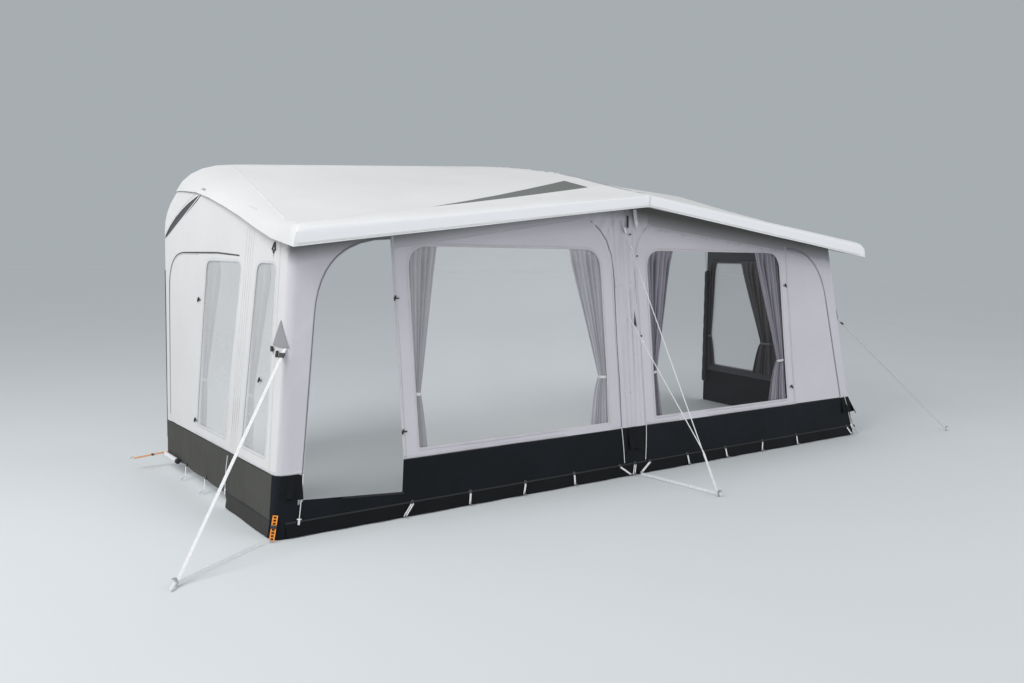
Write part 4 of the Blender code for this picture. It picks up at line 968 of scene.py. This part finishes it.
WINDOW_ENDS, WINDOW_FOOT, WINDOW_HEAD = (0.257, 2.054), 0.454, 1.898
SIDE_WINDOWS = {-1: (((0.735, 1.32), (0.82, 1.40)), ((1.63, 2.03), (1.64, 1.905))),
                1: (((0.10, 1.14), (0.10, 1.12)), ((1.63, 2.03), (1.64, 1.905)))}
HEM_Z, PIPING_Z = 0.411, 0.3965
for side, name in NAMES.items():
    wall, flank, tip = WALLS[side], FLANKS[side], TIPS[side]
    for spot, end, turn in (("outer", 1, -1), ("inner", 0, 1)):
        rows = [[(WINDOW_ENDS[end] + turn * radius * (1 - t) ** 2, WINDOW_HEAD - radius * t * t, CLOTH)
                 for radius in (0.175, 0.080)] for t in shares(12)]
        sheet_on(f"window_corner_{name}_{spot}", wall, rows, 0.0012, WALL)
    binding(f"binding_front_{name}", wall, WINDOW_ENDS, WINDOW_ENDS, WINDOW_FOOT, WINDOW_HEAD, 0.175,
            BINDING)
    for spot, ends in zip(("rear", "front"), SIDE_WINDOWS[side]):
        feet, heads = ((low - 0.008, high + 0.008) for low, high in ends)
        binding(f"binding_side_{name}_{spot}", flank, feet, heads, 0.482, 1.763, 0.078, BINDING_PALE)
    door_edge = [(leg_side(z) + 0.009, z) for z in np.linspace(0.205 if side < 0 else 0.407, 1.42, 9)]
    header_ends = (0.30, 2.45) if side > 0 else (0.42, 2.14)
    header_seam = [(u, header_line(u * side)) for u in np.linspace(*header_ends, 8)]
    leg_top = under_roof(tip, -0.12, SIDES[side])
    flap_start = 1.44 if side < 0 else 0.02
    flap_end = side_length(0.0) - 0.075
    for piece, route, width, thickness, material in (
            ("zip_door", wall.route(door_edge + arch(0.009)[1:]), 0.009 if side < 0 else 0.014, 0.0016,
             ZIP_GREY),
            ("seam_door", wall.route([(2.157, 0.412), (2.157, 1.955)]), 0.020, 0.0012, SEAM),
            ("hem_front", wall.route([(0.15, HEM_Z), (2.168, HEM_Z)]), 0.018, 0.0012, SEAM),
            ("hem_leg", tip.route([(-0.118, 0.412), (0.175, 0.412)], step=0.012), 0.018, 0.0012, SEAM_PALE),
            ("hem_side", flank.route([(0.67 if side < 0 else 0.015, HEM_Z),
                                      (side_length(HEM_Z) - 0.124, HEM_Z)]), 0.018, 0.0012, SEAM_PALE),
            ("seam_leg", tip.route([(-0.121, 0.425), (-0.121, leg_top)]), 0.016, 0.0012, SEAM_PALE),
            ("header_seam", settled(wall.route(header_seam)), 0.010, 0.0016, SEAM),
            ("rear_tape", [(flank.point(0.004, z) + SIDES[side] * 0.0020, SIDES[side])
                           for z in np.linspace(0.25, 1.66, 20)], 0.016, 0.0022, BLACK_TAPE),
            ("skirt_piping_front", wall.route([(0.01, PIPING_Z), (2.17 if side < 0 else 3.0, PIPING_Z)]),
             0.008, 0.002, SEAM_DARK),
            ("skirt_piping_side", flank.route([(0.01, PIPING_Z), (side_length(PIPING_Z) - 0.08, PIPING_Z)]),
             0.008, 0.002, SEAM_DARK),
            ("skirt_seam_front", wall.route([(0.0, 0.097), (3.04, 0.097)]), 0.012, 0.0035, SEAM_DARK),
            ("skirt_seam_side", flank.route([(flap_start, 0.107), (flap_end, 0.107)]), 0.012, 0.0035,
             SEAM_DARK)):
        band(f"{piece}_{name}", route, width, thickness, material)
    centre_zip = [(0.136, 0.412), (0.128, 0.8), (0.130, 1.10), (0.126, 1.30), (0.118, 1.60), (0.122, 1.74),
                  (0.138, 1.85), (0.180, 1.965), (0.245, 2.05), (0.335, 2.12)]
    band(f"zip_centre_{name}", settled(wall.route(centre_zip)), 0.011, 0.0018, ZIP_GREY if side < 0 else SEAM,
         slot="black_plastic")
    # Tucks between the side windows
    parts = []
    for d in (1.452, 1.486, 1.520, 1.554):
        top = (d + 0.004, under_roof(flank, d, SIDES[side]))
        parts.append(swept(*zip(*flank.route([(d - 0.02, 0.425), (d, 1.7), top])), 0.008, 0.0028))
    merged(f"tucks_side_{name}", parts, SIDE)
    # Vent slot between the gusset's edge and a seam, with its net
    slot_edges = []
    for edge, shift, bow in (("gusset", -0.008, 0.055), ("slot", 0.030, -0.012)):
        start = Vector((0.66 + shift, under_roof(flank, 0.66 + shift, SIDES[side])))
        end = Vector((0.012, 1.935 - shift))
        run = (end - start).normalized()
        square = Vector((run.y, -run.x))
        slot_edges.append([tuple(start.lerp(end, t) + square * bow * math.sin(math.pi * t))
                           for t in shares(14)])
        band(f"edge_{edge}_{name}", flank.route(slot_edges[-1]), 0.012, 0.0012, SEAM_PALE)
    net = sheet_on(f"slot_net_{name}", flank, [[(*spot, -0.006) for spot in pair] for pair in zip(*slot_edges)],
                   0.002, LINING)
    area = half_area(net)
    flat_size(net.data, area)

# Zip of the door in the left side wall, running on above the window
line = [(0.091, 0.425)]
line += [(curve(0.091, 0.091, 0.40, t), curve(1.50, 1.809, 1.809, t)) for t in shares(12)]
line += [(0.66, 1.812), (1.0, 1.815), (1.36, 1.800)]
band("zip_side_door", FLANKS[-1].route(line), 0.012, 0.0016, ZIP)
band("sill_hem", WALLS[-1].route([(2.185, 0.168), (2.915, 0.224)]), 0.012, 0.0016, SEAM_DARK)
band("skirt_split_tape", FLANKS[-1].route([(1.425, 0.385), (1.445, 0.25), (1.452, 0.108)]), 0.034, 0.003,
     BLACK_TAPE, slot="skirt_cloth")

# Roof seams
roof_seams = [("ridge", (0, 1.15), (0, -1.10), 60, 0.024)]
for side, name in NAMES.items():
    roof_seams += [(f"shoulder_{name}", (2.69 * side, 1.15), (2.93 * side, -1.09), 60, 0.020),
                   (f"rail_{name}", (0.03 * side, 1.135), (2.66 * side, 1.135), 40, 0.016),
                   (f"canopy_{name}", (1.78 * side, HALF_DEPTH - 1.904), (3.0 * side, HALF_DEPTH - 2.24), 40,
                    0.018)]
for name, start, end, count, width in roof_seams:
    over = [(blend(start[0], end[0], t), blend(start[1], end[1], t), 4) for t in shares(count)]
    band(f"seam_{name}", seen_from(roof_tree, over, -UP), width, 0.0012, SEAM_ROOF)
half_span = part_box("front_canopy")[1][0]
ahead_of = [(blend(0.03 - half_span, half_span - 0.03, t), -3) for t in shares(120)]
ahead_of = [(x, y, blend(PEAK_HEIGHT, EAVE_HEIGHT, abs(x) / half_span) + 0.013) for x, y in ahead_of]
band("canopy_hem", seen_from(canopy_tree, ahead_of, -FRONT, -1.1), 0.013, 0.0012, SEAM_ROOF)
nose = [(0.0, -3, 2.245 + 0.085 * t) for t in shares(8)]
band("canopy_ridge_seam", seen_from(canopy_tree, nose, -FRONT, -1.05), 0.016, 0.0012, SEAM_ROOF)


# Skirts: hanging flaps and peg bands

def flap(name, skin, low, high, top, wave, material):
    """Ground flap sewn below the skirt's seam, standing out a little and waving."""
    foot, rows = 0.004, []
    count = max(int((high - low) / 0.03), 2)
    for t in shares(4):
        rows.append([])
        for a in shares(count):
            u = blend(low, high, a)
            swell = wave * t * (1 + math.sin(u * 17 + 1.3 * math.sin(u * 5)))
            rows[-1].append((u, blend(top, foot, t), CLOTH + 0.0015 + 0.005 * t + swell))
    sheet_on(name, skin, rows, 0.0012, material)


def peg_band(name, skin, u, top, skew, double=False):
    """Elastic peg band from the skirt's seam to the ground, with its tab and hook."""
    start, normal = skin.at(u, top, CLOTH + 0.010)
    end = skin.at(u + skew, 0.012, CLOTH + 0.024)[0]
    direction = (end - start).normalized()
    sideways = (skin.point(u + 0.01, top) - skin.point(u, top)).normalized()
    parts = [swept([spot + sideways * shift for spot in evenly(start, end, 4)], [normal] * 5,
                   0.010 if double else 0.016, 0.0022) for shift in ((-0.009, 0.009) if double else (0.0,))]
    merged(f"peg_band_{name}", parts, WHITE_TAPE)
    tab = skin.at(u, top + 0.010, CLOTH + 0.004)[0]
    merged(f"peg_tab_{name}", [block(tab, direction, normal, 0.034, 0.026, 0.005)], BLACK)
    hook = [end + normal * out + UP * rise
            for out, rise in ((0, 0.004), (0.016, 0.006), (0.028, -0.001), (0.031, -0.008))]
    eye = ring(end + UP * 0.006, direction.cross(normal).normalized(), direction, 0.022, 0.018, 0.0022)
    merged(f"peg_hook_{name}", [tube(hook, 0.0032), eye], STEEL)


for side, name in NAMES.items():
    flap(f"skirt_flap_front_{name}", WALLS[side], 0.004, 3.04, 0.095, 0.004, HEM)
    # Side flaps in their lighter copy of the hem cloth, painted light
    flap(f"skirt_flap_side_{name}", FLANKS[side], 1.44 if side < 0 else 0.02, side_length(0.0) - 0.075, 0.105,
         0.002, HEM_PAINTED_LIGHT)
for number, (x, skew, double) in enumerate((
        (-2.13, 0.07, True), (-1.65, 0.02, False), (-1.155, 0.03, False), (-0.675, 0.01, False),
        (-0.185, -0.10, False), (-0.02, 0.03, True), (0.15, -0.12, True), (0.61, 0.0, False),
        (1.105, 0.0, False), (1.625, -0.03, False), (2.14, -0.01, False), (2.975, 0.05, False)), 1):
    peg_band(f"front_{number}", WALLS[-1 if x < 0 else 1], abs(x), 0.085, skew, double)
for name, side, d, top, skew in (("left_1", -1, 0.52, 0.105, 0.03), ("left_2", -1, 0.98, 0.105, 0.03),
                                 ("right_1", 1, 0.45, 0.085, 0.02), ("right_2", 1, 1.0, 0.085, 0.02),
                                 ("right_3", 1, 1.5, 0.085, 0.02)):
    peg_band(name, FLANKS[side], d, top, skew)


# Toggles and clips

def toggle(name, skin, u, z, turned=1):
    spot, normal = skin.at(u, z, CLOTH + 0.008)
    along = (skin.point(u, z + 0.01) - skin.point(u, z)).normalized()
    across = along.cross(normal).normalized()
    bar = (along + across * 0.4 * turned).normalized()
    loop = spot - normal * 0.004 + across * 0.016 * turned
    merged(f"toggle_{name}", [tube([spot + bar * reach for reach in (-0.020, -0.014, 0.014, 0.020)], 0.0062, 10,
                                   (0.55, 1.0, 1.0, 0.55)), block(loop, across, normal, 0.036, 0.010, 0.003),
                              ring(spot - normal * 0.002, normal, across, 0.020, 0.016, 0.0020)], BLACK)


for name, side, u, z, turned in (("left_upper", -1, 2.168, 1.52, 1), ("left_lower", -1, 2.168, 0.59, 1),
                                 ("right_upper", 1, 2.122, 1.57, -1), ("right_lower", 1, 2.122, 0.575, -1)):
    toggle(f"front_{name}", WALLS[side], u, z, turned)
for side, d, z in ((-1, 0.700, 1.451), (-1, 0.700, 0.512), (-1, 1.838, 0.971), (1, 1.838, 0.971)):
    toggle(f"side_{NAMES[side]}_{int(d * 100)}_{int(z * 100)}", FLANKS[side], d, z)

for side, name in NAMES.items():
    spot, normal = FLANKS[side].at(1.86, 1.875, CLOTH + 0.005)
    down = (FLANKS[side].point(1.86, 1.80) - FLANKS[side].point(1.86, 1.90)).normalized()
    wide = down.cross(normal).normalized()
    parts = [block(spot + wide * shift + down * 0.006, (down + wide * lean).normalized(), normal, length, 0.011,
                   0.005) for shift, lean, length in ((0.012, 0.5, 0.056), (-0.012, -0.3, 0.060))]
    merged(f"eave_clip_{name}", parts + [block(spot + down * 0.040, down, normal, 0.026, 0.014, 0.006)], BLACK)
    tail = [spot + down * 0.045, spot + down * 0.062 + wide * 0.004, spot + down * 0.080]
    merged(f"eave_clip_tail_{name}", [tube(tail, 0.003)], WHITE_TAPE)

# Strap patches at the corners, pulled out by the storm straps, with their two buckles; their dark grey is
# painted shade on the pulled-out patch
PATCH_APEX, PATCH_REAR, PATCH_FRONT = Vector((-0.055, 1.392)), Vector((-0.150, 1.222)), Vector((0.032, 1.212))
for side, name in NAMES.items():
    rows = []
    for t in shares(8):
        rows.append([])
        for share in shares(6):
            place = PATCH_APEX.lerp(PATCH_REAR.lerp(PATCH_FRONT, share), t)
            bulge = math.sin(math.pi * share) ** 1.5 * t
            rows[-1].append((*place, CLOTH + 0.0043 + 0.005 * bulge))
    sheet_on(f"strap_patch_{name}", TIPS[side], rows, 0.0012, PATCH_SHADED, 70)
    first, normal = TIPS[side].at(-0.140, 1.196, CLOTH + 0.014)
    second = TIPS[side].at(-0.062, 1.170, CLOTH + 0.016)[0]
    tilted = (UP - TIPS[side].towards * 0.3).normalized()
    merged(f"strap_buckles_{name}", [block(first, UP, normal, 0.036, 0.026, 0.012),
                                     block(second, tilted, normal, 0.044, 0.022, 0.012)], BLACK)

# Centre leg fittings
patch = [WHOLE.at(*spot, 0.012)[0] for spot in ((0.075, 1.388), (0.064, 1.262), (0.096, 1.235))]
patch.append(WHOLE.at(0.070, 1.25, 0.028)[0])
add_mesh("guy_patch_lower", patch + [spot - FRONT * 0.0015 for spot in patch],
         [[0, 1, 3], [0, 3, 2], [4, 7, 5], [4, 6, 7], [0, 4, 5, 1], [1, 5, 7, 3], [3, 7, 6, 2], [2, 6, 4, 0]],
         BLACK_TAPE, 20, "wall_cloth")
band("guy_tab_upper", WHOLE.route([(0.066, 2.179), (0.062, 2.13), (0.057, 2.077)], out=0.013, step=0.02),
     0.022, 0.0025, BLACK_TAPE, slot="black_plastic")
start, normal = WHOLE.at(0.130, 2.225, 0.034)
end = WHOLE.at(0.150, 2.108, 0.024)[0]
run = (end - start).normalized()
merged("canopy_clip", [block(start.lerp(end, 0.5), run, normal, 0.130, 0.034, 0.012, 0.4),
                       block(end + run * 0.012, run, normal, 0.030, 0.014, 0.008)], WHITE)
spot, normal = WHOLE.at(0.020, 2.052, 0.020)
leaning = Vector((0.35, -0.1, -1)).normalized()
merged("guy_buckle_upper", [block(spot, leaning, normal, 0.052, 0.020, 0.008)], WHITE)
merged("guy_studs", [block(WHOLE.at(x, z, 0.018)[0], UP, FRONT, 0.016, 0.012, 0.008)
                     for x, z in ((0.078, 2.02), (0.143, 1.838), (0.135, 1.158))], BLACK)


# Short cords at the centre cover and the corners, with their hooks

def bowed(start, end, normal):
    return [spot + normal * 0.004 * math.sin(math.pi * n / 12) for n, spot in enumerate(evenly(start, end, 12))]


for number, (x, z, end_x) in enumerate(((-0.144, 0.404, -0.145), (0.136, 0.401, 0.094)), 1):
    start, normal = WHOLE.at(x, z, 0.010)
    points = bowed(start, WHOLE.at(end_x, 0.115, 0.020)[0], normal)
    cord = add_mesh(f"cover_cord_{number}", *tube(points, 0.003), WHITE_TAPE)
for name, skin, start_at, end_at in (("left_front", WALLS[-1], (2.903, 0.397), (2.950, 0.115)),
                                     ("right_front", WALLS[1], (2.962, 0.430), (3.045, 0.110)),
                                     ("left_split", FLANKS[-1], (1.405, 0.372), (1.418, 0.130))):
    start, normal = skin.at(*start_at, CLOTH + 0.004)
    points = bowed(start, skin.at(*end_at, CLOTH + 0.012)[0], normal)
    cord = add_mesh(f"cord_{name}", *tube(points, 0.0032), WHITE_TAPE)
    end, direction = points[-1], (points[-1] - points[-2]).normalized()
    hook = merged(f"cord_hook_{name}", [
        block(end + direction * 0.018, direction, normal, 0.040, 0.014, 0.008, 0.45),
        block(end + direction * 0.002, direction.cross(normal), normal, 0.030, 0.008, 0.006)], WHITE)

# Straps stretched low over the ground from the awning's foot to the two near pegs
for name, start, end, tall in (("left", (-3.178, -1.125, 0.014), (-3.800, -1.512, 0.012), 0.010),
                               ("left_second", (-3.168, -1.137, 0.010), (-3.792, -1.524, 0.010), 0.006),
                               ("centre", (0.0, -1.175, 0.018), (0.118, -1.935, 0.016), 0.022)):
    points = evenly(Vector(start), Vector(end), 12)
    run = runs_of(points)[0]
    form = swept(points[::-1], [Vector((run.y, -run.x, 0))] * 13, tall, 0.002)
    add_mesh(f"ground_strap_{name}", *form, GROUND_TAPE)

# White peg heads that the straps' loops hold
for name, foot, end in (("left", (-3.798, -1.530, 0.030), (-3.845, -1.600, 0.010)),
                        ("centre", (0.100, -1.925, 0.026), (0.118, -1.948, 0.012)),
                        ("right", (4.150, -1.525, 0.028), (4.176, -1.545, 0.012))):
    points = [Vector(foot).lerp(Vector(end), t) for t in (0, 0.3, 0.8, 1)]
    merged(f"peg_head_{name}", [tube(points, 0.0095, 12, (0.7, 1.0, 1.0, 0.6))], WHITE)


# Ladder straps at the corners' feet
LADDER_WIDTH = 0.036


def ladder(name, start, end, face, material=ORANGE):
    run = (end - start).normalized()
    across = run.cross(face).normalized()
    length = (end - start).length
    parts = [block(start.lerp(end, 0.5) + across * shift, run, face, length, 0.008, 0.0036)
             for shift in (0.004 - LADDER_WIDTH / 2, LADDER_WIDTH / 2 - 0.004)]
    parts += [block(start + run * (0.004 + (length - 0.008) * t), across, face, LADDER_WIDTH, 0.0080, 0.0034)
              for t in shares(max(int(length / 0.019), 2))]
    merged(f"ladder_{name}", parts, material, "orange_webbing", f"peg_strap_{name}")
    buckle = block(start.lerp(end, 0.45), run, face, 0.022, LADDER_WIDTH + 0.006, 0.009)
    merged(f"ladder_{name}_buckle", [buckle], BLACK)
    foot = end + run * 0.004
    level_run = Vector((run.x, run.y, 0))
    level_run = level_run.normalized() if level_run.length > 0.1 else face
    merged(f"ladder_{name}_peg", [tube([foot + level_run * out + UP * rise for out, rise in (
        (-0.004, 0.012), (0.010, 0.013), (0.018, 0.006), (0.019, 0))], 0.0035)], STEEL)


for side, name in NAMES.items():
    top = TIPS[side].at(0.0, 0.155, CLOTH + 0.0048)[0]
    foot = TIPS[side].at(0.0, 0.0, 0.045)[0]
    foot.z = 0.008
    ladder(f"front_{name}", top, foot, TIPS[side].towards, ORANGE if side < 0 else WHITE_TAPE)
    top = FLANKS[side].at(0.02, 0.125, CLOTH + 0.006)[0]
    foot = top + SIDES[side] * 0.27
    foot.z = 0.100
    ladder(f"rear_{name}", top, foot, UP)


# Skirt tabs that hang in folds at the front corners, and the fold below the centre cover

def tab(name, skin, low, high, top, foot, waves, depth):
    rows = []
    for t in shares(14):
        rows.append([])
        for a in shares(28):
            curl = 0.012 * math.sin(math.pi * clamp((a - 0.02) / 0.5)) * t ** 3
            fold = depth * t * (1 + math.sin(waves * math.tau * a + 1.5 * t)) / 2
            rows[-1].append((blend(low, high, a), blend(top, foot, t) + curl * 1.6,
                             CLOTH + 0.004 + fold + curl))
    sheet_on(name, skin, rows, 0.0014, HEM, 70)


tab("corner_tab_left", WALLS[-1], 3.060, 2.915, 0.395, 0.238, 2.2, 0.016)
tab("corner_tab_right", WALLS[1], 3.060, 2.915, 0.395, 0.238, 2.2, 0.016)
tab("centre_fold", WHOLE, -0.072, 0.118, 0.390, 0.205, 1.6, 0.018)
tab("corner_flap_right", TIPS[1], 0.02, -0.10, 0.385, 0.215, 1.0, 0.05)

# Rolled draught strip with its end cap at the foot of the left rear edge
start, end = (FLANKS[-1].at(d, z, 0.026)[0] for d, z in ((0.012, 0.108), (0.335, 0.112)))
merged("rear_roll", [tube(evenly(start, end, 8), 0.020, 14)], WHITE)
run = (end - start).normalized()
merged("rear_roll_cap", [tube([end + run * reach for reach in (0, 0.004, 0.030, 0.036)], 0.0215, 14,
                              (0.9, 1.0, 1.0, 0.8))], BLACK)

# Floor, backdrop and light
FLOOR_HALF, FLOOR_Z = 60, -0.001
graph = Graph("floor")
graph.colour((0.665, 0.695, 0.705), (0.675, 0.705, 0.715), graph.noise(0.6))
graph.set(Roughness=0.9)
floor_mesh = bpy.data.meshes.new("floor")
floor_corners = [(FLOOR_HALF * x, FLOOR_HALF * y, FLOOR_Z) for x, y in ((-1, -1), (1, -1), (1, 1), (-1, 1))]
floor_mesh.from_pydata(floor_corners, [], [(0, 1, 2, 3)])
floor_mesh.materials.append(graph.material)
floor = bpy.data.objects.new("floor", floor_mesh)
scene.collection.objects.link(floor)

world = bpy.data.worlds.new("world")
scene.world = world
world.use_nodes = True
tree = world.node_tree
soft = tree.nodes["Background"]
seen = tree.nodes.new("ShaderNodeBackground")
for node, colour, strength in ((soft, (0.93, 0.96, 1.0, 1), 0.60), (seen, (0.386, 0.421, 0.440, 1), 1.0)):
    node.inputs["Color"].default_value = colour
    node.inputs["Strength"].default_value = strength
mix = tree.nodes.new("ShaderNodeMixShader")
rays = tree.nodes.new("ShaderNodeLightPath")
either = tree.nodes.new("ShaderNodeMath")
either.operation = "MAXIMUM"
for start, end in ((rays.outputs["Is Camera Ray"], either.inputs[0]),
                   (rays.outputs["Is Transmission Ray"], either.inputs[1]),
                   (either.outputs[0], mix.inputs["Fac"]), (soft.outputs[0], mix.inputs[1]),
                   (seen.outputs[0], mix.inputs[2]),
                   (mix.outputs[0], tree.nodes["World Output"].inputs["Surface"])):
    tree.links.new(start, end)

for name, spot, target, size, power in (("key", (-9, -2, 8), (0, 0, 1), (5, 5), 560),
                                        ("fill", (4, -10, 5), (0, 0, 1), (6, 4), 240),
                                        ("inside", (0, 0.1, 1.86), (0, 0.1, 0), (5.2, 1.3), 8)):
    light = bpy.data.lights.new(name, "AREA")
    light.shape = "RECTANGLE"
    light.size, light.size_y = size
    light.energy = power
    item = bpy.data.objects.new(name, light)
    item.location = spot
    item.rotation_euler = (Vector(target) - Vector(spot)).to_track_quat("-Z", "Y").to_euler()
    scene.collection.objects.link(item)

scene.view_settings.view_transform = "Standard"
